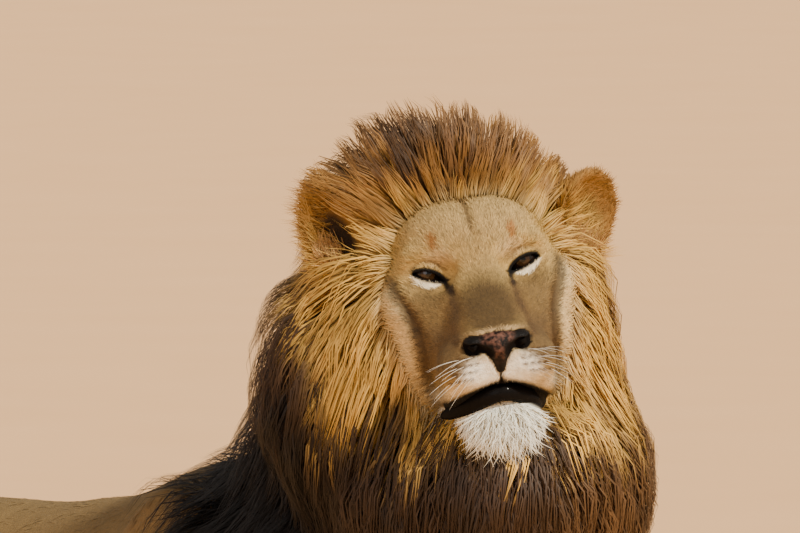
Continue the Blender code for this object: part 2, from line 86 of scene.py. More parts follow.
def select_only(*things):
    bpy.ops.object.select_all(action="DESELECT")
    for thing in things:
        thing.select_set(True)
    bpy.context.view_layer.objects.active = things[0]


def apply_modifier(thing, modifier):
    select_only(thing)
    bpy.ops.object.modifier_apply(modifier=modifier.name)


def places_of(thing, kind="co"):
    flat = np.empty(len(thing.data.vertices) * 3, np.float32)
    thing.data.vertices.foreach_get(kind, flat)
    return flat.reshape(-1, 3).astype(float)


def move_to(thing, places):
    thing.data.vertices.foreach_set("co", places.astype(np.float32).ravel())
    thing.data.update()


def placed(name, data):
    """A new object at the origin of the scene, for a mesh or a camera."""
    made = bpy.data.objects.new(name, data)
    bpy.context.scene.collection.objects.link(made)
    return made


def store(mesh, name, kind, values):
    """One value for each vertex, under a name that a material can read."""
    field = {"FLOAT": "value", "FLOAT_VECTOR": "vector"}[kind]
    held = mesh.attributes.new(name, kind, "POINT")
    held.data.foreach_set(field, values.astype(np.float32).ravel())


def unit(vectors):
    return vectors / np.maximum(np.linalg.norm(vectors, axis=-1, keepdims=True), 1e-9)


def smooth_step(low, high, values):
    share = np.clip((values - low) / (high - low), 0, 1)
    return share * share * (3 - 2 * share)


bpy.ops.object.select_all(action="DESELECT")
print("helpers ready")

# %% [markdown]
# ## Where the head is
# The head turns about the point midway between the pupils. Places on the face are given in the
# head's own frame: X to its left, -Y the way it looks, and Z up. The eyeballs of the solids say
# where that point is, so the face can't drift away from them.

# %% The head's frame
HEAD_TURN = math.radians(-35.0)
HEAD_NOD = math.radians(-4.0)
HEAD_TILT = math.radians(-8.3)
EYE_X = 0.0540
EYE_BACK = -0.0010
EYE_RADIUS = 0.0190

eye_centres = {side: sum((Vector(corner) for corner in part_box(node)), Vector()) / 2
               for side, node in ((1, "eye_left"), (-1, "eye_right"))}
head_turn = (Matrix.Rotation(HEAD_TURN, 4, "Z") @ Matrix.Rotation(HEAD_NOD, 4, "X")
             @ Matrix.Rotation(HEAD_TILT, 4, "Y"))
eyes_mid = (eye_centres[1] + eye_centres[-1]) / 2 - head_turn @ Vector((0, EYE_BACK, 0))
HEAD = Matrix.Translation(eyes_mid) @ head_turn
HEAD_AXES = np.array(HEAD.to_3x3())
WORLD = Matrix.Identity(4)


def in_head(points):
    """World places, in the head's own frame."""
    return (points - np.array(eyes_mid)) @ HEAD_AXES


def out_of_head(points):
    return points @ HEAD_AXES.T + np.array(eyes_mid)


print("between the pupils:", [round(value, 4) for value in eyes_mid])

# %% [markdown]
# ## A body of masses
# An animal has no flat faces to extrude, so it is described the way an anatomist would: balls and
# bones at their real size, each flowing into its neighbours. Each one is a primitive. Joined and
# remeshed they become one closed skin, which is then drawn onto the masses' common outline.
# A mass is stated out to the tips of the coat, and `under` gives the flesh below that coat.

# %% Two kinds of mass
THINNEST = 0.004  # a mass keeps at least this radius under its coat


class Mass:
    def under(self, depth):
        """Thinner by the coat's depth, or wider by it where the mass is sunk into the form."""
        self.radii = self.radii + depth if self.sunk else np.maximum(self.radii - depth, THINNEST)
        return self


class Ball(Mass):
    """An ellipsoid turned about its own centre: added to the form, or sunk into it."""

    def __init__(self, centre, radii, blend=0.03, turn=None, frame=WORLD, sunk=False):
        self.sunk = sunk
        self.centre = np.array(frame @ Vector(centre))
        self.radii = np.array(radii)
        self.axes = np.array(frame.to_3x3() @ (turn or Matrix.Identity(3)))
        self.blend = blend

    def distance(self, points):
        local = (points - self.centre) @ self.axes
        reach = np.sqrt(((local / self.radii) ** 2).sum(1))
        slope = np.sqrt(((local / self.radii ** 2) ** 2).sum(1))
        return reach * (reach - 1) / np.maximum(slope, 1e-9)

    def shell(self, ball):
        return (ball * self.radii) @ self.axes.T + self.centre


class Bone(Mass):
    """A round tapered length from one end to the other, flattened by a share along one direction."""

    def __init__(self, start, end, start_radius, end_radius, blend=0.03, flat=None, frame=WORLD,
                 sunk=False):
        self.sunk = sunk
        self.start = np.array(frame @ Vector(start))
        self.end = np.array(frame @ Vector(end))
        self.radii = np.array((start_radius, end_radius))
        self.blend = blend
        self.squash = np.eye(3)
        if flat:
            direction = np.array((frame.to_3x3() @ Vector(flat[0])).normalized())
            self.squash += np.outer(direction, direction) * (flat[1] - 1)
        self.unsquash = np.linalg.inv(self.squash)

    def distance(self, points):
        run = (self.end - self.start) @ self.unsquash
        local = (points - self.start) @ self.unsquash
        share = np.clip(local @ run / (run @ run), 0, 1)
        radius = self.radii[0] + share * (self.radii[1] - self.radii[0])
        return np.sqrt(((local - share[:, None] * run) ** 2).sum(1)) - radius

    def shell(self, ball):
        run = Vector((self.end - self.start) @ self.unsquash)
        axes = np.array(run.to_track_quat("Z", "Y").to_matrix())
        ahead = ball[:, 2:3] >= 0
        radius = np.where(ahead, self.radii[1], self.radii[0])
        place = np.where(ahead, np.array(run), 0.0) + (ball * radius) @ axes.T
        return place @ self.squash + self.start


def merge(first, second, blend):
    """The lower of two distances, rounded where they meet."""
    share = np.maximum(blend - np.abs(first - second), 0) / blend
    return np.minimum(first, second) - share * share * blend / 4


def outline(points, masses):
    """Signed distance to the masses' common surface, each added or sunk in its turn."""
    total = masses[0].distance(points)
    for mass in masses[1:]:
        if mass.sunk:
            total = -merge(-total, mass.distance(points), mass.blend)
        else:
            total = merge(total, mass.distance(points), mass.blend)
    return total


def both_sides(make):
    """The masses of both sides, from a function of the side: 1 is the lion's left, -1 its right."""
    return make(1) + make(-1)


def under(depth, masses):
    return [mass.under(depth) for mass in masses]


def turned(axis, degrees):
    return Matrix.Rotation(math.radians(degrees), 3, axis)


print("masses: Ball and Bone")

# %% [markdown]
# ## Trunk and legs
# A lion at rest lies on its breastbone with the forearms flat in front and the hind legs folded
# beside the loins. The short coat is about 9 mm deep on the trunk and 3 mm on the feet.

# %% The masses of trunk, legs and tail
TRUNK_COAT = 0.009
LEG_COAT = 0.006
FOOT_COAT = 0.003
REACHES = {1: 0.0, -1: 0.045}  # how much further forward each foreleg is stretched


def trunk_masses():
    return [
        Ball((0, 0.120, 0.232), (0.190, 0.400, 0.250)),  # rib cage
        Ball((0, -0.040, 0.432), (0.085, 0.200, 0.110), 0.07),  # withers
        Ball((0, 0.330, 0.360), (0.075, 0.300, 0.082), 0.08),  # back muscles
        Ball((0, 0.500, 0.250), (0.165, 0.320, 0.205), 0.06),  # loins
        Ball((0, 0.420, 0.150), (0.185, 0.350, 0.165), 0.05),  # belly
        Ball((0, 0.780, 0.285), (0.155, 0.220, 0.185), 0.06),  # pelvis
        Ball((0, 0.800, 0.150), (0.120, 0.165, 0.152), 0.06),  # between the thighs
    ] + both_sides(lambda side: [
        Ball((side * 0.120, -0.030, 0.362), (0.055, 0.130, 0.155), 0.06),  # shoulder blade
        Ball((side * 0.090, 0.860, 0.250), (0.090, 0.120, 0.160), 0.05),  # rump
        Ball((side * 0.075, 0.700, 0.400), (0.060, 0.090, 0.070), 0.06),  # hip
    ])


def toe_masses(across, ahead, height, side):
    """Four toes side by side, the middle two reaching further."""
    spread = (-0.043, -0.015, 0.015, 0.043)
    lag = (0.022, 0.002, 0.0, 0.018)
    return [Ball((across + side * offset, ahead + back, height), (0.0185, 0.044, 0.031), 0.007,
                 turned("Z", -9 * side * offset / 0.043))
            for offset, back in zip(spread, lag)]


def fore_toes(side):
    return toe_masses(side * 0.148, -0.490 - REACHES[side], 0.033, side)


def hind_toes(side):
    return toe_masses(side * 0.258, 0.448, 0.031, side)


def foreleg_masses(side):
    reach = REACHES[side]
    return under(LEG_COAT, [
        Ball((side * 0.160, -0.130, 0.270), (0.075, 0.150, 0.185), 0.05),
        Bone((side * 0.170, -0.190, 0.260), (side * 0.183, 0.030, 0.105), 0.082, 0.060, 0.03),
        Ball((side * 0.183, -0.020, 0.200), (0.060, 0.110, 0.115), 0.04),  # triceps
        Bone((side * 0.183, 0.020, 0.068), (side * 0.158, -0.330 - reach, 0.044), 0.068, 0.045, 0.02),
        Ball((side * 0.188, 0.056, 0.050), (0.046, 0.052, 0.052), 0.02),  # elbow
    ]) + under(FOOT_COAT, [
        Ball((side * 0.150, -0.425 - reach, 0.043), (0.060, 0.085, 0.044), 0.02),  # paw
    ] + fore_toes(side))


def hind_leg_masses(side):
    return under(LEG_COAT, [
        Bone((side * 0.115, 0.760, 0.305), (side * 0.225, 0.480, 0.220), 0.150, 0.085, 0.05,
             ((1, 0.35, 0), 0.74)),  # thigh
        Ball((side * 0.165, 0.790, 0.162), (0.085, 0.135, 0.152), 0.05),  # its back
        Ball((side * 0.232, 0.450, 0.213), (0.058, 0.066, 0.070), 0.04),  # knee
        Bone((side * 0.236, 0.470, 0.190), (side * 0.236, 0.800, 0.064), 0.068, 0.040, 0.025),
        Ball((side * 0.232, 0.570, 0.150), (0.050, 0.120, 0.070), 0.03),  # calf
        Ball((side * 0.236, 0.850, 0.060), (0.034, 0.036, 0.036), 0.02),  # heel
        Bone((side * 0.240, 0.810, 0.048), (side * 0.252, 0.590, 0.041), 0.041, 0.037, 0.015),
    ]) + under(FOOT_COAT, [
        Ball((side * 0.258, 0.510, 0.040), (0.052, 0.080, 0.041), 0.02),  # paw
    ] + hind_toes(side))


TAIL_COAT = 0.007
TAIL_TUFT_COAT = 0.024
TAIL_ROOT = Vector((0, 0.920, 0.335))
TAIL_DROP = Vector((0, 1.060, 0.240))  # what it curves towards on its way to the floor
TAIL_LANDING = Vector((0.060, 1.100, 0.033))
TAIL_CURL_CENTRE = Vector((0.200, 0.850, 0.027))
TAIL_CURL_END = math.radians(-15)
TAIL_TUFT_LENGTH = 0.220


def tail_route(drop_steps=5, curl_steps=10):
    """Down from the rump, then round on the floor to the lion's left, ending where the tuft begins."""
    route = []
    for step in range(drop_steps):
        share = step / drop_steps
        route.append(TAIL_ROOT.lerp(TAIL_DROP, share).lerp(TAIL_DROP.lerp(TAIL_LANDING, share), share))
    arm = TAIL_LANDING - TAIL_CURL_CENTRE
    first = math.atan2(arm.y, arm.x)
    reach = math.hypot(arm.x, arm.y)
    for step in range(curl_steps + 1):
        share = step / curl_steps
        angle = first + (TAIL_CURL_END - first) * share
        height = TAIL_LANDING.z + (TAIL_CURL_CENTRE.z - TAIL_LANDING.z) * share
        route.append(Vector((TAIL_CURL_CENTRE.x + reach * math.cos(angle),
                             TAIL_CURL_CENTRE.y + reach * math.sin(angle), height)))
    return route


TAIL_TUFT_WAY = Vector((math.sin(TAIL_CURL_END), -math.cos(TAIL_CURL_END), 0.05))


def tail_masses():
    route = tail_route()
    last = len(route) - 1
    lengths = []
    for index, (start, end) in enumerate(zip(route[:-1], route[1:])):
        first, second = (0.042 - 0.018 * (index + step) / last for step in (0, 1))
        lengths.append(Bone(start, end, first, second, 0.01))
    middle = route[-1] + TAIL_TUFT_WAY * TAIL_TUFT_LENGTH * 0.45 + Vector((0, 0, 0.008))
    tip = route[-1] + TAIL_TUFT_WAY * TAIL_TUFT_LENGTH * 0.75
    return under(TAIL_COAT, lengths) + under(TAIL_TUFT_COAT, [
        Bone(route[-1], middle, 0.030, 0.038, 0.02), Bone(middle, tip, 0.038, 0.030, 0.02)])


def body_masses():
    return (under(TRUNK_COAT, trunk_masses()) + both_sides(foreleg_masses)
            + both_sides(hind_leg_masses) + tail_masses())


print("body:", len(body_masses()), "masses")

# %% [markdown]
# ## Skull, face and ears
# The face is where a lion is recognised: a broad flat bridge, wide whisker pads over a black lip,
# a strong chin, eyes set deep under the brow. The fur here is only 4 to 5 mm deep, except on the
# chin, so the masses come close to the surface.

# %% The masses of the head
FACE_COAT = 0.0045
CHIN_COAT = 0.010
CHEEK_COAT = 0.008
EAR_COAT = 0.0030


def face_masses():
    def ball(centre, radii, blend, turn=None):
        return Ball(centre, radii, blend, turn, HEAD)

    def bone(start, end, first, last, blend, flat=None):
        return Bone(start, end, first, last, blend, flat, HEAD)

    middle = under(FACE_COAT, [
        ball((0, 0.085, 0.000), (0.098, 0.118, 0.084), 0.03),  # braincase
        ball((0, 0.020, 0.006), (0.076, 0.066, 0.062), 0.03),  # frontal bone
        bone((0, -0.016, -0.010), (0, -0.122, -0.0860), 0.0330, 0.0310, 0.022),  # bridge of the nose
        ball((0, -0.062, -0.092), (0.064, 0.074, 0.054), 0.02),  # muzzle bone
        ball((0, -0.096, -0.110), (0.040, 0.043, 0.030), 0.012),  # upper lip
    ]) + under(CHIN_COAT, [
        ball((0, -0.078, -0.170), (0.049, 0.040, 0.040), 0.018),  # chin
    ])

    def sides(side):
        return under(FACE_COAT, [
            ball((side * 0.032, 0.028, 0.034), (0.044, 0.048, 0.036), 0.02),  # forehead
            bone((side * 0.016, -0.030, -0.022), (side * 0.019, -0.120, -0.0860), 0.0290, 0.0290, 0.014),
            ball((side * 0.072, 0.030, -0.036), (0.036, 0.062, 0.036), 0.05, turned("Z", 14 * side)),
            ball((side * 0.052, -0.014, -0.074), (0.036, 0.050, 0.046), 0.035),  # cheek
        ]) + under(CHEEK_COAT, [
            ball((side * 0.066, 0.052, -0.088), (0.046, 0.074, 0.066), 0.03),  # chewing muscle
            bone((side * 0.020, -0.062, -0.160), (side * 0.062, 0.060, -0.122), 0.030, 0.046, 0.02),
        ]) + under(FACE_COAT, [
            ball((side * 0.048, -0.008, 0.022), (0.032, 0.016, 0.012), 0.020, turned("Y", 8 * side)),
            ball((side * 0.060, -0.004, -0.030), (0.028, 0.020, 0.014), 0.02),  # under the eye
            ball((side * 0.0360, -0.0960, -0.1090), (0.0370, 0.0480, 0.0350), 0.012),  # whisker pad
            ball((side * 0.0480, -0.0620, -0.1300), (0.0260, 0.0440, 0.0300), 0.016),  # flew
        ])

    def socket(side):
        """The hollow that the eye lies in, and the lids over the eyeball."""
        return [
            Ball((side * 0.053, -0.036, -0.004), (0.027, 0.016, 0.016), 0.018, None, HEAD, True),
            ball((side * EYE_X, EYE_BACK, 0), (EYE_RADIUS + LID_THICKNESS,) * 3, 0.010),
        ]
    return middle + both_sides(sides) + both_sides(socket)


LID_THICKNESS = 0.0022
EAR_PLACES = {1: ((0.142, 0.098, 0.040), (0.45, -0.86, -0.20), (0.42, 0.05, 0.90)),
              -1: ((-0.140, 0.098, 0.062), (-0.30, -0.94, 0.00), (-0.30, 0.05, 0.95))}
EAR_RADII = (0.042, 0.021, 0.054)
EAR_HOLLOW_RADII = (0.031, 0.018, 0.042)


def ear_axes(side):
    """The ear's own axes as a turn: across, through and up."""
    _, opening, up = EAR_PLACES[side]
    through = -Vector(opening).normalized()
    across = through.cross(Vector(up)).normalized()
    return Matrix((across, through, across.cross(through))).transposed()


def in_ear(local, side):
    """Places in the head's frame, along the ear's own axes."""
    return (local - np.array(EAR_PLACES[side][0])) @ np.array(ear_axes(side))


def ear_masses(side):
    centre = Vector(EAR_PLACES[side][0])
    turn = ear_axes(side)
    root = Vector((side * 0.088, 0.090, 0.000))
    cup = centre - turn.col[1] * 0.015 + turn.col[2] * 0.002
    return under(EAR_COAT, [
        Ball(centre, EAR_RADII, 0.02, turn, HEAD),
        Bone(centre - turn.col[2] * 0.032, root, 0.026, 0.030, 0.02, None, HEAD),
        Ball(cup, EAR_HOLLOW_RADII, 0.006, turn, HEAD, True)])


print("face:", len(face_masses()), "masses")

# %% [markdown]
# ## The mane's outer shape
# The mane is loose hair, up to 50 mm deep over the neck and cheeks. Its outer shape is kept as
# masses too: locks will be laid between the skin and this shape, so that their tips make it.

# %% The masses of the mane
NECK_HAIR = 0.050  # how deep the mane is on the neck, crest and chest
THROAT_HAIR = 0.032  # and round the cheeks and throat
FLOOR_GAP = 0.0030  # the skin stays this far above the floor, on a pressed coat
EAR_BLEND = 0.012  # how softly an ear's root flows into the head


def mane_masses(neck_hair=0.0, throat_hair=0.0):
    """The mane's outer shape, or the flesh under hair of the depths given."""
    def ball(centre, radii, blend, turn=None):
        return Ball(centre, radii, blend, turn, HEAD)

    behind_skull = HEAD @ Vector((0, 0.170, -0.010))
    return under(neck_hair, [
        ball((-0.030, 0.120, 0.072), (0.138, 0.085, 0.104), 0.02),  # crest
    ]) + under(throat_hair, [
        ball((0.092, 0.085, -0.080), (0.056, 0.085, 0.145), 0.02),  # left ruff
        ball((-0.100, 0.085, -0.080), (0.064, 0.085, 0.145), 0.02),  # right ruff
        ball((0.085, 0.070, -0.235), (0.080, 0.085, 0.130), 0.03),  # their falls
        ball((-0.085, 0.070, -0.235), (0.080, 0.085, 0.130), 0.03),
        ball((0, 0.020, -0.250), (0.115, 0.095, 0.105), 0.03),  # throat
        Bone((-0.060, -0.425, 0.520), (0, -0.300, 0.390), 0.112, 0.160, 0.06),  # below it
    ]) + under(neck_hair, [
        ball((-0.115, 0.150, -0.120), (0.135, 0.115, 0.165), 0.04),  # off side of the neck
        Bone(behind_skull, (0.010, -0.130, 0.420), 0.145, 0.150, 0.05),  # neck
        Ball((0, -0.250, 0.300), (0.225, 0.160, 0.270), 0.06),  # chest
        Ball((0, -0.130, 0.385), (0.190, 0.140, 0.150), 0.05),  # over the shoulders
    ])


mane = mane_masses()
ears = {side: ear_masses(side) for side in SIDES}
flesh = body_masses() + face_masses() + mane_masses(NECK_HAIR, THROAT_HAIR)


def skin_distance(points):
    """Signed distance to the skin, ears included."""
    total = outline(points, flesh)
    for side in SIDES:
        total = merge(total, outline(points, ears[side]), EAR_BLEND)
    return np.maximum(total, FLOOR_GAP - points[:, 2])


def mane_distance(points):
    """Signed distance to the mane's outer shape: negative inside it."""
    return outline(points, mane)


print("mane:", len(mane), "masses")

# %% [markdown]
# ## An unwrap for the coat's colours
# The coat will be baked to pictures later, so every tuft needs its own small patch of a map. The
# skin is unwrapped now, while its faces are still large and even; subdividing keeps the map.

# %% Unwrap the skin
UNWRAP_ANGLE = math.radians(66)
ISLAND_GAP = 0.002


def unwrap(thing):
    select_only(thing)
    bpy.ops.object.mode_set(mode="EDIT")
    bpy.ops.mesh.select_all(action="SELECT")
    bpy.ops.uv.smart_project(angle_limit=UNWRAP_ANGLE, island_margin=ISLAND_GAP)
    bpy.ops.object.mode_set(mode="OBJECT")
    thing.data.uv_layers.active.name = "OFBake"
    print(thing.name, "is unwrapped:", len(thing.data.loops), "corners")

# %% [markdown]
# ## One skin
# All the masses' own balls are joined and remeshed with 10.5 mm voxels, which is fine enough for a
# flank but not for a face. So the head is subdivided, then the face and ears again, then the eyes
# and lips, and after each step every vertex slides along its normal onto the outline.

# %% Join, remesh and draw onto the outline
SKIN_VOXEL = 0.0105


def joined_balls(name, masses):
    shells = []
    for mass in [mass for mass in masses if not mass.sunk]:
        bpy.ops.mesh.primitive_ico_sphere_add(subdivisions=4, radius=1)
        shell = bpy.context.object
        move_to(shell, mass.shell(places_of(shell)))
        shells.append(shell)
    select_only(*shells)
    bpy.ops.object.join()
    form = bpy.context.object
    form.name = name
    return form


def remesh(form, voxel):
    modifier = form.modifiers.new("one skin", "REMESH")
    modifier.mode = "VOXEL"
    modifier.voxel_size = voxel
    apply_modifier(form, modifier)


def draw_onto(form, distance, steps, reach=0.006):
    for _ in range(steps):
        places = places_of(form)
        move = np.clip(distance(places) * 0.8, -reach, reach)[:, None] * places_of(form, "normal")
        move_to(form, places - move)


def subdivide_where(form, chosen):
    """Subdivide the faces whose vertices are all chosen."""
    select_only(form)
    bpy.ops.object.mode_set(mode="EDIT")
    bpy.ops.mesh.select_mode(type="VERT")
    bpy.ops.mesh.select_all(action="DESELECT")
    bpy.ops.object.mode_set(mode="OBJECT")
    form.data.vertices.foreach_set("select", chosen)
    bpy.ops.object.mode_set(mode="EDIT")
    bpy.ops.mesh.select_mode(type="FACE")
    bpy.ops.mesh.subdivide(number_cuts=1, ngon=False)
    bpy.ops.object.mode_set(mode="OBJECT")


def near_head(places):
    local = in_head(places)
    ear = local[:, 2] > -0.020
    return ((local[:, 1] < np.where(ear, 0.125, 0.085))
            & (np.abs(local[:, 0]) < np.where(ear, 0.205, 0.125))
            & (np.abs(local[:, 2] + 0.060) < 0.185))


def on_face_or_ears(places):
    local = in_head(places)
    face = ((local[:, 1] < 0.045) & (np.abs(local[:, 0]) < 0.108)
            & (np.abs(local[:, 2] + 0.065) < 0.155))
    for side in SIDES:
        face |= np.linalg.norm(local - np.array(EAR_PLACES[side][0]), axis=1) < 0.066
    return face


def on_features(places):
    """Round the eyes and along the mouth."""
    local = in_head(places)
    aside = np.abs(local[:, 0])
    eyes = (np.hypot(aside - EYE_X, (local[:, 2] + 0.002) * 1.3) < 0.026) & (local[:, 1] < 0.012)
    mouth = ((np.abs(local[:, 2] + 0.137 + aside * 0.42) < 0.013) & (aside < 0.070)
             & (local[:, 1] < -0.030))
    return eyes | mouth


skin = joined_balls("skin", flesh + ears[1] + ears[-1])
remesh(skin, SKIN_VOXEL)
draw_onto(skin, skin_distance, 8)
remesh(skin, SKIN_VOXEL)
draw_onto(skin, skin_distance, 3)
unwrap(skin)
for region, steps in ((near_head, 4), (on_face_or_ears, 6), (on_features, 3)):
    subdivide_where(skin, region(places_of(skin)))
    draw_onto(skin, skin_distance, steps, 0.003)
    print(region.__name__, len(skin.data.vertices), "vertices")
print("skin:", len(skin.data.vertices), "vertices")

# %% [markdown]
# ## The face is carved
# Creases, lids and the mouth are narrower than any ball. Each is a stroke: a short route across the
# face, a width and a depth, pressed into the skin along its own normals, with its mirror image.
# The opening between the lids is an almond whose outer corner is higher; the skin inside it
# drops behind the eyeball, and the vertices nearest its edge are slid onto it, for a clean rim.

# %% The almond between the lids
LID_CORNERS = ((0.0370, -0.0120), (0.0735, 0.0020))  # inner and outer: aside and up
LID_RISE = 0.0072  # of the upper lid above the line between the corners
LID_DROP = 0.0026  # of the lower lid below it
LID_PIT = 0.011  # how far the skin inside the almond drops back

lid_run = np.array(LID_CORNERS[1]) - np.array(LID_CORNERS[0])
lid_half = np.linalg.norm(lid_run) / 2
lid_middle = (np.array(LID_CORNERS[0]) + np.array(LID_CORNERS[1])) / 2
lid_along = lid_run / (2 * lid_half)
lid_across = np.array((-lid_along[1], lid_along[0]))


def lid_places(local):
    """Along the eye's slit and up across it, the same on both sides."""
    flat = np.stack((np.abs(local[:, 0]), local[:, 2]), axis=1) - lid_middle
    return flat @ lid_along, flat @ lid_across


def lid_edges(along):
    """How high the lower and the upper lid's edges are, at places along the slit."""
    arch = np.clip(1 - (along / lid_half) ** 2, 0, 1)
    return -LID_DROP * arch, LID_RISE * arch ** 0.75


def beyond_lids(local):
    """How far outside the almond: negative within it."""
    along, across = lid_places(local)
    lower, upper = lid_edges(along)
    return np.maximum(np.maximum(across - upper, lower - across), np.abs(along) - lid_half)


print("between the lids:", round(lid_half * 2000), "by", round((LID_RISE + LID_DROP) * 1000), "mm")

# %% Strokes across the face
def from_route(flat, route):
    """Distance of flat places to a route of straight runs, and how far along it, from 0 to 1."""
    route = np.array(route)
    best = np.full(len(flat), 1e9)
    along = np.zeros(len(flat))
    for index, (start, end) in enumerate(zip(route[:-1], route[1:])):
        run = end - start
        share = np.clip((flat - start) @ run / (run @ run), 0, 1)
        distance = np.linalg.norm(flat - start - share[:, None] * run, axis=1)
        nearer = distance < best
        best = np.where(nearer, distance, best)
        along = np.where(nearer, (index + share) / (len(route) - 1), along)
    return best, along


# Each stroke: a route (aside, up), its width and how deep it is pressed.
CHEEK_FOLD = ((0.0930, -0.008), (0.0900, -0.026), (0.0830, -0.046), (0.0775, -0.066),
              (0.0760, -0.086), (0.0740, -0.108), (0.0690, -0.130), (0.0640, -0.150))
OVER_THE_LID = ((0.037, 0.003), (0.0440, 0.0095), (0.0530, 0.0130), (0.0630, 0.0132),
                (0.0720, 0.0098), (0.0790, 0.0040))
STROKES = (
    (((0.000, 0.085), (0.000, 0.050), (0.000, 0.024)), 0.0050, 0.0026),  # forehead furrow
    (((0.034, -0.018), (0.0345, -0.038), (0.037, -0.058), (0.042, -0.078)),
     0.0065, 0.0022),  # beside the bridge
    (CHEEK_FOLD, 0.0060, 0.0050),
    (((0.040, -0.020), (0.054, -0.0245), (0.070, -0.017)), 0.0030, 0.0014),  # under the eye
    (OVER_THE_LID, 0.0024, 0.0018),
    (((0.000, -0.116), (0.000, -0.134)), 0.0022, 0.0045),  # below the nose
    (((0.000, -0.1345), (0.018, -0.1405), (0.040, -0.1510), (0.060, -0.1600)),
     0.0036, 0.0050),  # mouth
    (((0.030, -0.100), (0.056, -0.098)), 0.0016, 0.0007),  # three whisker rows
    (((0.030, -0.108), (0.060, -0.107)), 0.0016, 0.0007),
    (((0.030, -0.116), (0.060, -0.116)), 0.0016, 0.0007),
)
STROKE_FADE = 0.18  # the share of a stroke, at each end, over which it grows shallower


def carve_face(form):
    places = places_of(form)
    normals = places_of(form, "normal")
    local = in_head(places)
    face = np.flatnonzero((local[:, 1] < 0.045) & (np.abs(local[:, 0]) < 0.11)
                          & (local[:, 2] > -0.20) & (local[:, 2] < 0.10)
                          & (normals @ HEAD_AXES[:, 1] < 0.2))
    flat = np.stack((np.abs(local[face, 0]), local[face, 2]), axis=1)
    press = np.zeros(len(face))
    for route, width, depth in STROKES:
        distance, along = from_route(flat, route)
        fade = (smooth_step(0, STROKE_FADE, along) * smooth_step(0, STROKE_FADE, 1 - along)
                * 0.75 + 0.25)
        press += depth * fade * np.exp(-(distance / width) ** 2)
    places[face] -= normals[face] * press[:, None]
    move_to(form, places)


def open_lids(form):
    """Slide the vertices near the almond's edge onto it, and drop what is inside behind the eyeball."""
    places = places_of(form)
    local = in_head(places)
    near = np.flatnonzero((local[:, 1] < 0.005) & (beyond_lids(local) < 0.0012))
    spot = local[near]
    along, across = lid_places(spot)
    lower, upper = lid_edges(along)
    beyond = beyond_lids(spot)
    edge = np.abs(beyond) < 0.0007
    target = np.where(np.abs(across - upper) < np.abs(across - lower), upper, lower)
    shift = np.where(edge & (np.abs(along) < lid_half), target - across, 0)
    spot[:, 0] += np.sign(spot[:, 0]) * shift * lid_across[0]
    spot[:, 2] += shift * lid_across[1]
    spot[:, 1] += LID_PIT * smooth_step(0.0003, 0.0009, -beyond)
    places[near] = out_of_head(spot)
    move_to(form, places)


carve_face(skin)
open_lids(skin)
print("face carved with", len(STROKES), "strokes")

# %% [markdown]
# ## Nose leather
# The nose is bare, damp skin with its own finish, so it is a separate piece: a broad bar, a stem
# down to the lip, two wings, and two comma-shaped nostrils sunk into them. It stands a little
# proud of the skin, which is pressed back under it.

# %% The nose
NOSE_VOXEL = 0.0011
NOSE_BED = 0.0040  # how far the skin is pressed back under the leather
NOSTRIL_DEPTH = 0.0060  # and how much further behind the nostrils


def nose_masses():
    masses = [Ball((0, -0.1330, -0.0865), (0.0360, 0.0190, 0.0140), 0.008, turned("X", -20), HEAD),
              Bone((0, -0.1385, -0.0930), (0, -0.1330, -0.1150), 0.0145, 0.0045, 0.008, None, HEAD)]
    for side in (1, -1):
        masses.append(Ball((side * 0.0270, -0.1330, -0.0860), (0.0115, 0.0165, 0.0115), 0.006,
                           turned("Y", 18 * side), HEAD))
    for side in (1, -1):
        masses.append(Bone((side * 0.0165, -0.1510, -0.0985), (side * 0.0260, -0.1470, -0.0935),
                           0.0088, 0.0090, 0.0025, None, HEAD, True))
        masses.append(Bone((side * 0.0260, -0.1470, -0.0935), (side * 0.0420, -0.1340, -0.0845),
                           0.0090, 0.0040, 0.0025, None, HEAD, True))
    return masses


nose_parts = nose_masses()
nose_leather_parts = [part for part in nose_parts if not part.sunk]
nostril_parts = [part for part in nose_parts if part.sunk]
nose = joined_balls("nose_leather", nose_parts)
remesh(nose, NOSE_VOXEL)
draw_onto(nose, lambda points: outline(points, nose_parts), 12, 0.0010)


def in_nostrils(places):
    """1 in the two nostrils, 0 a few millimetres outside them."""
    within = np.min([part.distance(places) for part in nostril_parts], axis=0)
    return smooth_step(0.0045, 0.0010, within) * (outline(places, nose_leather_parts) < 0.0010)


places = places_of(skin)
bed = NOSE_BED * smooth_step(0.0034, -0.0010, outline(places, nose_leather_parts))
bed += NOSTRIL_DEPTH * in_nostrils(places)
move_to(skin, places - places_of(skin, "normal") * bed[:, None])
print("nose:", len(nose.data.vertices), "vertices")

# %% [markdown]
# ## Eyes
# An eyeball is a ball with a clear bulge in front. A sphere with its poles front and back gives
# rings round the pupil, and scaling the rings near the front pole makes the bulge.

# %% Eyeballs
CORNEA_SPREAD = math.radians(32)
CORNEA_BULGE = 0.0010
GAZE = Vector((-0.030, -1.0, -0.010))  # in the head's frame


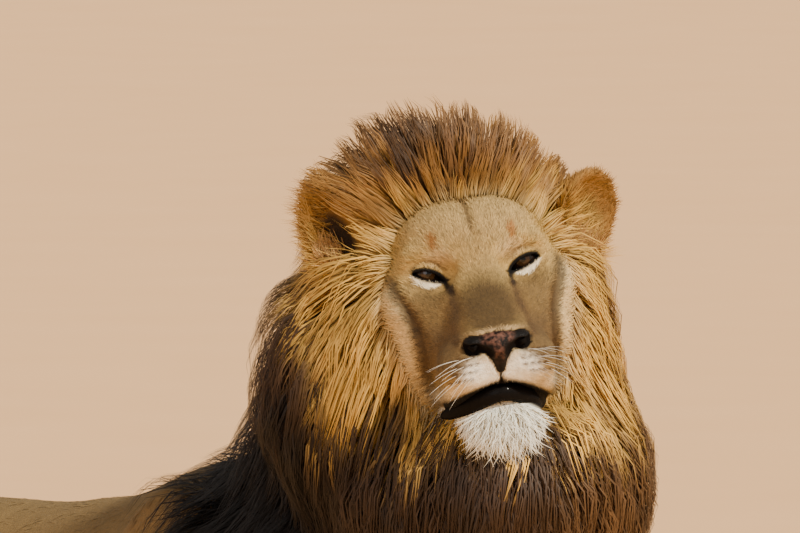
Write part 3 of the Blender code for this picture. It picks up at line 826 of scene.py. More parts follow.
def make_eye(side):
    bpy.ops.mesh.primitive_uv_sphere_add(segments=48, ring_count=32, radius=EYE_RADIUS)
    eye = bpy.context.object
    eye.name = "eyeball_" + SIDES[side]
    places = places_of(eye)
    off_axis = np.arccos(np.clip(unit(places)[:, 2], -1, 1))
    bulge = CORNEA_BULGE * (1 - smooth_step(0, CORNEA_SPREAD, off_axis))
    move_to(eye, places * (1 + bulge / EYE_RADIUS)[:, None])
    store(eye.data, "off_axis", "FLOAT", off_axis)
    store(eye.data, "round_pupil", "FLOAT_VECTOR", unit(places * np.array((1, 1, 0))))
    turn = GAZE.to_track_quat("Z", "X").to_matrix().to_4x4()
    eye.data.transform(HEAD @ Matrix.Translation((side * EYE_X, EYE_BACK, 0)) @ turn)
    eye.data.shade_smooth()
    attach(eye, "root")
    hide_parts("eye_left" if side > 0 else "eye_right")
    return eye


eyes = [make_eye(side) for side in SIDES]
print("eyes:", [eye.name for eye in eyes])

# %% [markdown]
# ## Lips
# The lower lip is a black roll that shows between the whisker pads and the chin. It is a tube
# swept along the mouth, set against the skin that a ray from the front meets there.

# %% The lower lip
LIP_STEPS = 40
LIP_SIDES = 12
LIP_END = 0.060  # how far aside each end is
LIP_LEAN = 0.0125  # the mouth is drawn this far towards the lion's right
LIP_HEIGHT = -0.1412  # of its middle, in the head's frame
LIP_FALL = 0.0205  # how far its ends are below its middle
LIP_FRONT = -0.1120  # how far forward its middle is
LIP_SMOOTHING = 4  # steps on each side that each place is averaged with
LIP_THICKNESS = 0.0062
LIP_ROLL = (0.0094, 0.0028)  # half its height in the middle, and what is added at the ends
LIP_SWEEP = 0.060  # how much further back its ends are


def mouth_at(share, raised=0.0):
    """Aside and up, from the right corner (-1) over the middle (0) to the left corner (1)."""
    return (LIP_END * share - LIP_LEAN * share ** 2,
            LIP_HEIGHT - LIP_FALL * abs(share) ** 1.25 + raised)


def tube(name, route, radii, up, sides=LIP_SIDES):
    """A closed tube along a route, with two radii at each point: across it and along `up`."""
    vertices, faces = [], []
    for index, place in enumerate(route):
        ahead = (route[min(index + 1, len(route) - 1)] - route[max(index - 1, 0)]).normalized()
        across = ahead.cross(up).normalized()
        upward = across.cross(ahead)
        for step in range(sides):
            angle = math.tau * step / sides
            vertices.append(place + across * math.cos(angle) * radii[index][0]
                            + upward * math.sin(angle) * radii[index][1])
    for index in range(len(route) - 1):
        for step in range(sides):
            first = index * sides
            after = (step + 1) % sides
            faces.append((first + step, first + after, first + sides + after, first + sides + step))
    faces.append(tuple(reversed(range(sides))))
    faces.append(tuple(range((len(route) - 1) * sides, len(route) * sides)))
    mesh = bpy.data.meshes.new(name)
    mesh.from_pydata(vertices, [], faces)
    made = placed(name, mesh)
    cleaner = bmesh.new()
    cleaner.from_mesh(mesh)
    bmesh.ops.recalc_face_normals(cleaner, faces=cleaner.faces)
    cleaner.to_mesh(mesh)
    cleaner.free()
    mesh.shade_smooth()
    return made


def skin_tree():
    mesh = bmesh.new()
    mesh.from_mesh(skin.data)
    tree = BVHTree.FromBMesh(mesh)
    mesh.free()
    return tree


tree = skin_tree()
forward = HEAD.to_3x3() @ Vector((0, 1, 0))
lip_route, lip_radii = [], []
for step in range(LIP_STEPS + 1):
    share = 2 * step / LIP_STEPS - 1
    aside, height = mouth_at(share)
    reach = LIP_FRONT + LIP_SWEEP * abs(share) ** 1.7
    hit = tree.ray_cast(HEAD @ Vector((aside, -0.30, height)), forward)[0]
    reach = min(reach, in_head(np.array(hit)[None])[0, 1] + 0.0012) + 0.004 * abs(share) ** 3
    lip_route.append(HEAD @ Vector((aside, reach, height)))
    thin = max(1 - share ** 4, 0.02) ** 0.7
    lip_radii.append((LIP_THICKNESS * thin, (LIP_ROLL[0] + LIP_ROLL[1] * abs(share)) * thin))
offsets = range(-LIP_SMOOTHING, LIP_SMOOTHING + 1)
smoothed = [sum((lip_route[min(max(index + offset, 0), LIP_STEPS)] for offset in offsets), Vector())
            / len(offsets) for index in range(LIP_STEPS + 1)]
lip = tube("lower_lip", smoothed, lip_radii, HEAD.to_3x3() @ Vector((0, 0, 1)))
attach(lip, "root")
print("lip:", len(lip.data.vertices), "vertices")

# %% [markdown]
# ## The markings
# A lion's coat has no hard pattern, but its tones place every feature: cream round the lips, eyes
# and chin, a dark bridge, golden ruffs, black-brown hair low on the throat. Some marks are painted
# light and shade. There is painted shade along each cheek fold, beside the bridge, over the lids,
# in the ears' cups and under the chin, and painted light on the ridge outside each cheek fold. The
# face is also darker under the eyes' outer corners and behind the pads, partly painted shade. Each
# tone is a soft ball or a soft stroke of colour, painted in turn. Skin, tufts and locks all ask the
# same function, so their colours agree, and each piece stores the answer as a colour attribute.

# %% Painting tones
def tone(red, green, blue):
    """A colour as a paint chart gives it, 0 to 255, made linear as a shader wants it."""
    share = np.array((red, green, blue)) / 255
    return np.where(share <= 0.04045, share / 12.92, ((share + 0.055) / 1.055) ** 2.4)


def spot(places, centre, radii, edge=0.35):
    """1 well inside an ellipsoid and 0 well outside, soft across its edge."""
    reach = np.linalg.norm((places - np.array(centre)) / np.array(radii), axis=1)
    return 1 - smooth_step(1 - edge, 1 + edge, reach)


def twin_spot(places, centre, radii, edge=0.35):
    """The same on both sides of the face."""
    folded = places.copy()
    folded[:, 0] = np.abs(folded[:, 0])
    return spot(folded, centre, radii, edge)


def twin_line(places, route, width, edge=0.5):
    """A soft stroke across the face, seen from the front, on both sides."""
    flat = np.stack((np.abs(places[:, 0]), places[:, 2]), axis=1)
    distance, _ = from_route(flat, route)
    return 1 - smooth_step(width * (1 - edge), width * (1 + edge), distance)


def paint(colours, share, colour):
    share = np.clip(share, 0, 1)[:, None]
    return colours * (1 - share) + colour * share


class Painted:
    """Colours at some places, and soft marks laid over them one after another."""

    def __init__(self, count, ground):
        self.colours = np.tile(tone(*ground), (count, 1))

    def lay(self, share, red, green, blue):
        self.colours = paint(self.colours, share, tone(red, green, blue))


def ripple(places, size, seed=0.0):
    """A soft, repeatable unevenness from -1 to 1, about `size` across."""
    total = np.zeros(len(places))
    for step in range(3):
        turn = np.array((math.sin(1.7 * step + seed + 1), math.cos(2.3 * step + seed),
                         math.sin(3.1 * step + seed + 2)))
        other = np.array((turn[1], -turn[2], turn[0]))
        total += (np.sin(places @ turn * math.tau / size + 1.3 * step)
                  * np.cos(places @ other * 4.4 / size + seed))
    return total / 3


print("a tone:", tone(177, 144, 98).round(3))

# %% Tones of trunk, legs and tail
def body_tones(places):
    aside, along, up = np.abs(places[:, 0]), places[:, 1], places[:, 2]
    coat = Painted(len(places), (141, 115, 73))
    coat.lay(smooth_step(0.30, 0.46, up) * 0.55, 106, 86, 54)  # back
    coat.lay(smooth_step(0.20, 0.06, up) * 0.75, 196, 168, 124)  # underside
    coat.lay(smooth_step(0.150, 0.120, aside) * smooth_step(0.14, 0.05, up), 206, 182, 140)
    coat.lay(smooth_step(-0.36, -0.42, along) * smooth_step(0.12, 0.08, up) * 0.7, 184, 150, 104)
    elbow = spot(np.stack((aside, along, up), axis=1), (0.196, 0.075, 0.060), (0.05, 0.05, 0.05))
    coat.lay(elbow * 0.5, 96, 74, 52)
    coat.lay(smooth_step(0.85, 0.78, along) * smooth_step(0.34, 0.37, places[:, 0]), 34, 24, 17)
    return coat.colours * (1 + 0.10 * ripple(places, 0.11))[:, None]


# %% Marks of the face
WHISKER_ROWS = ((-0.098, 0.030), (-0.106, 0.026), (-0.114, 0.028), (-0.122, 0.034))  # height, first
WHISKERS_PER_ROW = 4
WHISKER_STEP = 0.0075
MOUTH_HALF = 0.0112  # half the height of the black between pads and chin

# Each spot: its middle (aside, up), half its width and height, its edge's softness, its strength
# and its colour. Each line: a route, half its width, and the same three.
BRIDGE_AND_CHEEKS = (
    ((0.028, 0.060), (0.050, 0.034), 0.35, 0.50, (174, 146, 98)),  # forehead
    ((0.000, 0.010), (0.022, 0.030), 0.60, 0.45, (140, 112, 70)),  # between the eyes
    ((0.000, -0.048), (0.040, 0.036), 0.45, 0.95, (72, 55, 33)),  # bridge
    ((0.000, -0.0745), (0.036, 0.0050), 0.60, 0.70, (206, 178, 132)),  # above the nose
    # the next two are darker fur with painted shade over it, on the sides of cheek and muzzle
    ((0.060, -0.045), (0.030, 0.036), 0.50, 0.85, (100, 77, 46)),  # under the eye's outer corner
    ((0.052, -0.092), (0.026, 0.030), 0.50, 0.85, (84, 65, 44)),  # behind the pad
)
# Painted light and shade round each cheek fold: a band of paler fur with painted light on its ridge,
# painted shade along the fold, and painted shade in the crease beside the bridge.
CHEEK_PAINTED_LIGHT_AND_SHADE = (
    (((0.104, -0.010), (0.092, -0.060), (0.089, -0.105), (0.080, -0.150)),
     0.011, 0.6, 0.9, (222, 196, 144)),  # pale band outside the fold
    # painted shade along the cheek fold
    (CHEEK_FOLD, 0.0070, 0.7, 0.8, (54, 38, 25)),
    # painted shade over darker fur, in the crease beside the bridge
    (((0.036, -0.026), (0.037, -0.045), (0.044, -0.080)), 0.0040, 0.7, 0.6, (76, 56, 36)),
)
PADS = (
    ((0.021, -0.121), (0.022, 0.020), 0.45, 1.00, (255, 251, 236)),
    ((0.043, -0.136), (0.022, 0.010), 0.60, 0.70, (224, 208, 174)),
)
BROWS = (
    ((0.040, 0.0140), (0.014, 0.010), 0.60, 0.60, (206, 178, 132)),
    ((0.0445, 0.0330), (0.0050, 0.0100), 0.50, 0.90, (146, 96, 44)),
)
EYE_LINES = (
    # painted shade in the fold over the upper lid
    (((0.0350, 0.0020), (0.0480, 0.0125), (0.0640, 0.0130), (0.0780, 0.0040)),
     0.0022, 0.8, 0.50, (86, 62, 36)),  # fold over the lid
    (((0, 0.090), (0, 0.060), (0, 0.040)), 0.0032, 0.8, 0.65, (84, 60, 38)),  # furrow
    (((0.0395, -0.0100), (0.0360, -0.0170), (0.0345, -0.0240)),
     0.0036, 0.7, 0.95, (22, 16, 12)),  # tear line
    (((0.0345, -0.0220), (0.0335, -0.0380), (0.0360, -0.0520)),
     0.0036, 0.9, 0.35, (70, 52, 36)),  # and its trail
)
LIP_CLEFT = ((((0.000, -0.112), (0.000, -0.138)), 0.0018, 0.6, 1.0, (14, 10, 9)),)


def whisker_places():
    """Aside and up, for each whisker's root on one side."""
    for height, first in WHISKER_ROWS:
        for step in range(WHISKERS_PER_ROW):
            yield first + step * WHISKER_STEP, height - 0.0006 * step


def on_mouth(local, half, edge, raised=0.0035):
    """1 on the black of the mouth, which reaches further back on the lion's right."""
    route = [mouth_at(share, raised) for share in np.linspace(-1.12, 1, 12)]
    distance, _ = from_route(local[:, (0, 2)], route)
    return 1 - smooth_step(half * (1 - edge), half * (1 + edge), distance)


def lay_spots(coat, local, spots):
    for (aside, up), (wide, high), edge, strength, colour in spots:
        mark = twin_spot(local * FACE_ON, (aside, 0, up), (wide, 1, high), edge)
        coat.lay(mark * strength, *colour)


def lay_lines(coat, local, front, lines):
    for route, width, edge, strength, colour in lines:
        coat.lay(twin_line(local, route, width, edge) * front * strength, *colour)


# %% Tones of the face
def paint_fur(coat, local, front):
    """Forehead, bridge, cheeks, whisker pads and chin."""
    up = local[:, 2]
    # tones of bridge and cheeks, two of them partly painted shade
    lay_spots(coat, local, BRIDGE_AND_CHEEKS)
    # painted light and shade round the cheek folds
    lay_lines(coat, local, front, CHEEK_PAINTED_LIGHT_AND_SHADE)
    lay_spots(coat, local, PADS)
    for aside, height in whisker_places():
        mark = twin_spot(local * FACE_ON, (aside, 0, height), (0.0030, 1, 0.0017), 0.6)
        coat.lay(mark * front * 0.85, 66, 48, 33)
    chin = smooth_step(-0.148, -0.158, up) * smooth_step(0.066, 0.050, np.abs(local[:, 0] + 0.012))
    coat.lay(chin * front, 236, 236, 224)
    coat.lay(smooth_step(-0.200, -0.215, up) * front * 0.6, 150, 120, 84)


def paint_round_eyes(coat, local, front):
    """The pale patch below each eye, the lines round it and its black rim."""
    along, across = lid_places(local)
    ragged = 0.0011 * ripple(local, 0.0045) + 0.0008 * ripple(local, 0.0019, 4.0)
    bag = 0.0128 * np.clip(1 - ((along - 0.001) / 0.0205) ** 2, 0, 1) + ragged
    below = smooth_step(-bag - 0.0010, -bag + 0.0022, across) * smooth_step(-0.0010, -0.0026, across)
    coat.lay(below * front * (bag > 0.002), 248, 234, 204)
    lay_spots(coat, local, BROWS)
    # the fold over the lid is painted shade; furrow, tear line and its trail are the coat's own dark
    # marks
    lay_lines(coat, local, front, EYE_LINES)
    edge = beyond_lids(local) - 0.0022 * smooth_step(0.000, 0.004, across) + ragged * 0.5
    rim = smooth_step(0.0036, 0.0008, edge) * smooth_step(lid_half + 0.0035, lid_half - 0.0020, along)
    coat.lay(rim * front * smooth_step(0.03, 0.01, local[:, 1]), 10, 8, 7)


def face_tones(local):
    front = smooth_step(0.060, 0.020, local[:, 1])
    coat = Painted(len(local), (186, 156, 95))
    paint_fur(coat, local, front)
    paint_round_eyes(coat, local, front)
    coat.lay(on_mouth(local, MOUTH_HALF, 0.25) * (local[:, 1] < -0.03), 8, 7, 7)
    on_nose = smooth_step(0.0016, 0.0002, outline(out_of_head(local), nose_leather_parts))
    coat.lay(on_nose * (local[:, 1] < -0.08), 8, 6, 6)
    lay_lines(coat, local, front, LIP_CLEFT)
    return coat.colours * (1 + 0.15 * ripple(local, 0.013, 1.0) + 0.09 * ripple(local, 0.034, 3.0)
                           + 0.12 * ripple(local, 0.0052, 5.0))[:, None]


# %% Tones of ears and mane
# Painted shade in the hollow of each ear's cup: its middle in the ear's frame, and its radii.
EAR_CUP_SHADES = {1: ((-0.008, 0, -0.008), (0.015, 1, 0.018)),
           -1: ((0.002, 0, -0.014), (0.017, 1, 0.038))}


def ear_tones(local, side):
    """Golden, with painted shade in the hollow of its cup in front and a dark patch low on its back."""
    own = in_ear(local, side)
    middle, radii = EAR_CUP_SHADES[side]
    hollow = spot((own - np.array(middle) @ np.array(ear_axes(side))) * FACE_ON, (0, 0, 0), radii, 0.30)
    coat = Painted(len(local), (146, 105, 50))
    coat.colours *= (1 + 0.14 * ripple(local, 0.012, 6.0))[:, None]
    behind = spot(own * FACE_ON, (0, 0, -0.010), (0.034, 1, 0.030), 0.4) * (own[:, 1] > 0.008)
    coat.lay(behind * 0.75, 52, 37, 25)
    # painted shade deep in the cup, on its front
    coat.lay(hollow * (own[:, 1] < 0.010) * 0.95, 36, 25, 16)
    return coat.colours


def mane_tones(places):
    local = in_head(places)
    aside, back, up = local[:, 0], local[:, 1], local[:, 2]
    left = smooth_step(-0.040, 0.120, aside)
    coat = Painted(len(places), (104, 76, 47))
    gold = smooth_step(0.200, 0.165, np.abs(aside + 0.014)) * smooth_step(0.240, 0.170, back)
    coat.lay(gold * smooth_step(-0.225, -0.150, up + 0.045 * left), 208, 164, 80)
    crest = smooth_step(0.035, 0.085, up)
    coat.lay(crest * 0.85, 112, 71, 28)
    coat.lay(crest * smooth_step(-0.060, -0.120, aside) * 0.6, 160, 118, 58)
    coat.lay(crest * smooth_step(0.105, 0.165, up + 0.06 * ripple(local, 0.09)) * 0.6, 84, 56, 32)
    tips = crest * smooth_step(0.110, 0.160, up) * smooth_step(-0.010, -0.050, aside)
    coat.lay(tips * smooth_step(-0.150, -0.110, aside) * 0.6, 46, 32, 22)
    parting = crest * smooth_step(0.020, 0.004, np.abs(aside)) * smooth_step(0.140, 0.100, up)
    coat.lay(parting * 0.6, 84, 50, 22)
    coat.lay(smooth_step(0.120, 0.210, back) * 0.8, 78, 55, 35)
    off = smooth_step(-0.120, -0.160, aside)
    low = smooth_step(-0.160, -0.215, up + 0.045 * left - 0.030 * off)
    coat.lay(low * 0.90, 42, 28, 17)
    coat.lay(low * left * 0.75, 96, 68, 38)
    coat.lay(smooth_step(0.50, 0.42, places[:, 2]) * 0.7, 40, 27, 17)
    outer = smooth_step(-0.192, -0.228, aside) * smooth_step(0.080, 0.040, up)
    coat.lay(outer * 0.85, 62, 44, 30)
    shoulder = smooth_step(-0.36, -0.20, places[:, 1]) * smooth_step(0.68, 0.56, places[:, 2])
    off_side = smooth_step(-0.165, -0.225, aside) * smooth_step(-0.090, -0.170, up)
    coat.lay(np.maximum(shoulder, off_side) * 0.92, 18, 13, 10)
    # a painted shadow on the throat just under the chin
    coat.lay(spot(local, (0, 0, -0.235), (0.060, 0.16, 0.055), 0.5) * 0.6, 58, 38, 22)
    return coat.colours * (1 + 0.16 * ripple(places, 0.035, 2.0))[:, None]


def head_share(places):
    """1 on the head and 0 on the body."""
    away = np.linalg.norm(in_head(places) - np.array((0, 0.03, -0.04)), axis=1)
    return 1 - smooth_step(0.30, 0.36, away)


def crest_share(places):
    """1 on top of the head, where the mane stands up, and 0 below it."""
    return smooth_step(0.02, 0.07, in_head(places)[:, 2]) * head_share(places)


def mane_share(places):
    """1 where the mane stands over a place on the skin, 0 outside it."""
    return smooth_step(-0.004, -0.016, mane_distance(places))


def skin_tones(places):
    local = in_head(places)
    colours = body_tones(places)
    colours = paint(colours, head_share(places), face_tones(local))
    colours = paint(colours, mane_share(places), mane_tones(places))
    for side in SIDES:
        on_ear = spot(local, EAR_PLACES[side][0], (0.060, 0.060, 0.066), 0.15)
        colours = paint(colours, on_ear, ear_tones(local, side))
    return colours


def store_tones(thing, colours):
    held = thing.data.color_attributes.new("tones", "FLOAT_COLOR", "POINT")
    with_alpha = np.column_stack((np.clip(colours, 0, 1), np.ones(len(colours))))
    held.data.foreach_set("color", with_alpha.astype(np.float32).ravel())


store_tones(skin, skin_tones(places_of(skin)))
print("skin painted:", len(skin.data.vertices), "vertices")

# %% [markdown]
# ## The lie of the coat
# Hair points away from the nose over the face, backwards and down over the trunk, and down each
# limb. The lie at a place is a mix of those ways, flattened onto the skin there.

# %% The lie
def body_lie(places):
    """Backwards and down on the trunk, forwards along forearms and hind feet, down the tail."""
    side = np.sign(places[:, 0])
    aside = np.abs(places[:, 0])
    lie = np.tile(np.array((0.0, 0.92, -0.40)), (len(places), 1))

    def turn_to(way, share):
        way = np.asarray(way, float)
        lie[:] = lie * (1 - share[:, None]) + way * share[:, None]

    low = smooth_step(0.125, 0.095, places[:, 2])
    turn_to((0, -1, -0.10),
            low * smooth_step(0.06, 0.02, places[:, 1]) * smooth_step(0.085, 0.110, aside))
    turn_to((0, 0.35, -0.94),
            smooth_step(0.10, 0.12, aside) * smooth_step(0.12, 0.02, places[:, 1]) * (1 - low))
    hind = smooth_step(0.36, 0.46, places[:, 1]) * smooth_step(0.12, 0.16, aside)
    turn_to((0, 0.45, -0.90), hind * (places[:, 2] > 0.16))
    turn_to((0, 0.95, -0.30), hind * (places[:, 2] <= 0.16))
    turn_to((0, -1, -0.05), hind * (places[:, 2] < 0.085) * (places[:, 1] < 0.80) * (aside > 0.20))
    tail = (places[:, 1] > 0.955) | (places[:, 0] > 0.330)
    route = tail_route()
    route = np.array(route + [route[-1] + TAIL_TUFT_WAY * TAIL_TUFT_LENGTH])
    nearest = np.argmin(np.linalg.norm(places[tail, None] - route[None, :-1], axis=2), axis=1)
    lie[tail] = unit(route[nearest + 1] - route[nearest])
    lie[:, 0] += side * 0.10 * smooth_step(0.2, 0.4, places[:, 2])
    return lie


HAIR_SOURCE = (0, -0.118, -0.088)  # on the face, all hair points away from here


def face_lie(places):
    return (in_head(places) - np.array(HAIR_SOURCE)) @ HEAD_AXES.T


def mane_lie(places):
    """Out from the face and back round the head, more and more downwards further from it."""
    local = in_head(places)
    out = unit((local - np.array((0, 0, -0.020))) * FACE_ON) + np.array((0, 0.55, 0))
    around = unit(out) @ HEAD_AXES.T
    side = np.sign(places[:, 0] - eyes_mid.x * head_share(places))
    down = np.stack((side * 0.12, 0.30 * smooth_step(-0.42, -0.20, places[:, 1]),
                     -np.ones(len(places))), axis=1)
    fall = np.clip(smooth_step(0.075, -0.050, local[:, 2]) * 0.78
                   + smooth_step(0.06, 0.20, local[:, 1]) * 0.5, 0, 1)
    share = np.maximum(1 - head_share(places), fall)[:, None]
    return unit(around * (1 - share) + unit(down) * share)


def skin_lie(places):
    on_head = head_share(places)[:, None]
    in_mane = mane_share(places)[:, None]
    lie = unit(body_lie(places)) * (1 - on_head) + unit(face_lie(places)) * on_head
    return lie * (1 - in_mane) + mane_lie(places) * in_mane


def flattened(ways, normals):
    """The ways, without what points out of the skin."""
    return unit(ways - (ways * normals).sum(1)[:, None] * normals)


print("lie ready")

# %% [markdown]
# ## Where hairs root
# Roots are scattered over the skin's triangles in proportion to their size and to how dense the
# coat is there. Each root keeps its place, the skin's normal, and its place on the skin's unwrap.

# %% Scatter roots
class Roots:
    def __init__(self, places, normals, patches):
        self.places, self.normals, self.patches = places, normals, patches

    def only(self, chosen):
        return Roots(self.places[chosen], self.normals[chosen], self.patches[chosen])


def skin_triangles():
    mesh = skin.data
    mesh.calc_loop_triangles()
    corners = np.empty(len(mesh.loop_triangles) * 3, np.int32)
    mesh.loop_triangles.foreach_get("vertices", corners)
    loops = np.empty(len(mesh.loop_triangles) * 3, np.int32)
    mesh.loop_triangles.foreach_get("loops", loops)
    spread = np.empty(len(mesh.loops) * 2, np.float32)
    mesh.uv_layers["OFBake"].data.foreach_get("uv", spread)
    return corners.reshape(-1, 3), spread.reshape(-1, 2)[loops].reshape(-1, 3, 2)


skin_corners, skin_map = skin_triangles()
skin_places, skin_normals = places_of(skin), places_of(skin, "normal")
triangle_middles = skin_places[skin_corners].mean(axis=1)
triangle_sizes = np.linalg.norm(np.cross(
    skin_places[skin_corners[:, 1]] - skin_places[skin_corners[:, 0]],
    skin_places[skin_corners[:, 2]] - skin_places[skin_corners[:, 0]]), axis=1) / 2


def scatter(count, density, seed):
    """Roots at random over the skin, as many as asked, where `density` of a place says."""
    chance = np.random.default_rng(seed)
    weights = triangle_sizes * np.clip(density(triangle_middles), 0, None)
    picked = chance.choice(len(weights), count, p=weights / weights.sum())
    first, second = chance.random(count), chance.random(count)
    over = first + second > 1
    first[over], second[over] = 1 - first[over], 1 - second[over]
    shares = np.stack((1 - first - second, first, second), axis=1)[:, :, None]
    corners = skin_corners[picked]
    return Roots((skin_places[corners] * shares).sum(1), unit((skin_normals[corners] * shares).sum(1)),
                 (skin_map[picked] * shares).sum(1))


print("skin area:", round(triangle_sizes.sum(), 2), "square metres")

# %% [markdown]
# ## From a path to a lock
# Every tuft and lock is the same small thing: a closed, three-sided taper along a short path, blunt
# at the root and pointed at the tip. They are far too many to model one by one, so arrays of paths
# become one mesh in a single step. Its two side edges are marked sharp, so that light falls on its
# gently ridged top as on flat hair, not as on a round rod. Each keeps a patch of its own on the
# map, at its root's place.

# %% Turn paths into one mesh
PATCH = 0.003  # the side of each tuft's patch on the map
ROOF = 0.13  # how high the ridge is, as a share of the width
OFF_FLOOR = 0.0006  # no hair goes lower than this


def taper_faces(rings):
    """The faces of one taper, by vertex: quads between its rings, then its tip and its root."""
    quads = [(ring * 3 + step, ring * 3 + (step + 1) % 3,
              ring * 3 + 3 + (step + 1) % 3, ring * 3 + 3 + step)
             for ring in range(rings - 1) for step in range(3)]
    last = (rings - 1) * 3
    triangles = [(last + step, last + (step + 1) % 3, rings * 3) for step in range(3)] + [(2, 1, 0)]
    return quads, triangles


def sharpen_rails(mesh, per_hair):
    """Mark each taper's two side edges, but not the ridge between them."""
    ends = np.empty(len(mesh.edges) * 2, np.int32)
    mesh.edges.foreach_get("vertices", ends)
    ends = ends.reshape(-1, 2) % per_hair
    lengthwise = (np.ptp(ends, axis=1) == 3) | (ends.max(axis=1) == per_hair - 1)
    rails = mesh.attributes.new("sharp_edge", "BOOLEAN", "EDGE")
    rails.data.foreach_set("value", lengthwise & (ends.min(axis=1) % 3 != 1))


def hairs(name, paths, widths, normals, roots, colours, material):
    """One mesh of closed tapers: paths is (hairs, rings + tip, 3), widths is (hairs, rings)."""
    count, rings = widths.shape
    ahead = unit(np.gradient(paths, axis=1))[:, :-1]
    across = unit(np.cross(ahead, normals if normals.ndim == 3 else normals[:, None]))
    ridge = np.cross(across, ahead)
    body = paths[:, :-1]
    half = widths[:, :, None] / 2
    sections = np.stack((body - across * half, body + ridge * half * 2 * ROOF,
                         body + across * half), axis=2)
    vertices = np.concatenate((sections.reshape(count, rings * 3, 3), paths[:, -1:]), axis=1)
    per_hair = rings * 3 + 1
    vertices[:, :, 2] = np.maximum(vertices[:, :, 2], OFF_FLOOR)

    quads, triangles = taper_faces(rings)
    starts = (np.arange(count) * per_hair)[:, None]
    quad_loops = (starts + np.array(quads, np.int64).ravel()[None]).reshape(count, -1)
    tri_loops = (starts + np.array(triangles, np.int64).ravel()[None]).reshape(count, -1)
    loops = np.concatenate((quad_loops, tri_loops), axis=1).ravel()
    sizes = np.tile(np.array([4] * len(quads) + [3] * len(triangles)), count)

    mesh = bpy.data.meshes.new(name)
    mesh.vertices.add(count * per_hair)
    mesh.vertices.foreach_set("co", vertices.astype(np.float32).ravel())
    mesh.loops.add(len(loops))
    mesh.loops.foreach_set("vertex_index", loops.astype(np.int32))
    mesh.polygons.add(len(sizes))
    first_loops = np.concatenate(((0,), np.cumsum(sizes)[:-1]))
    mesh.polygons.foreach_set("loop_start", first_loops.astype(np.int32))
    mesh.update(calc_edges=True)
    mesh.polygons.foreach_set("use_smooth", np.ones(len(sizes), bool))
    sharpen_rails(mesh, per_hair)

    along = np.concatenate((np.repeat(np.arange(rings) / rings, 3), (1.0,)))
    aside = np.concatenate((np.tile((0.0, 0.5, 1.0), rings), (0.5,)))
    spread = roots.patches[:, None] + (np.stack((aside, along), axis=1)[None] - 0.5) * PATCH
    layer = mesh.uv_layers.new(name="OFBake")
    layer.data.foreach_set("uv", spread.reshape(-1, 2)[loops].astype(np.float32).ravel())
    store(mesh, "along", "FLOAT", np.tile(along, count))

    made = placed(name, mesh)
    if colours.ndim == 2:
        colours = np.repeat(colours[:, None], rings + 1, axis=1)
    per_vertex = np.concatenate((np.repeat(colours[:, :-1], 3, axis=1), colours[:, -1:]), axis=1)
    store_tones(made, per_vertex.reshape(-1, 3))
    made.data.materials.append(material)
    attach(made, "root")
    faces = count * (len(quads) * 2 + len(triangles))
    print(f"{name}: {count} tufts, {faces} triangles")
    return made


print("tufts: three-sided, closed")

# %% [markdown]
# ## Finishes
# Shader maths reads best as ordinary sums, so a small class wraps a socket: adding or multiplying
# two of them adds the Math nodes. Hair, skin and horn each get a short function.

# %% Shader maths as expressions
class Value:
    """A socket on its way through a material. Sums and products of it add their own nodes."""

    def __init__(self, nodes, socket):
        self.nodes, self.socket = nodes, socket

    def math(self, operation, first, second):
        return self.nodes.add("ShaderNodeMath", {"operation": operation}, {0: first, 1: second})

    def __add__(self, other):
        return self.math("ADD", self, other)

    def __sub__(self, other):
        return self.math("SUBTRACT", self, other)

    def __rsub__(self, other):
        return self.math("SUBTRACT", other, self)

    def __mul__(self, other):
        return self.math("MULTIPLY", self, other)

    __radd__ = __add__
    __rmul__ = __mul__

    def ramp(self, low, high):
        """0 below low and 1 above high, smooth between."""
        return self.nodes.add("ShaderNodeMapRange", {"interpolation_type": "SMOOTHSTEP"},
                              {0: self, 1: low, 2: high})


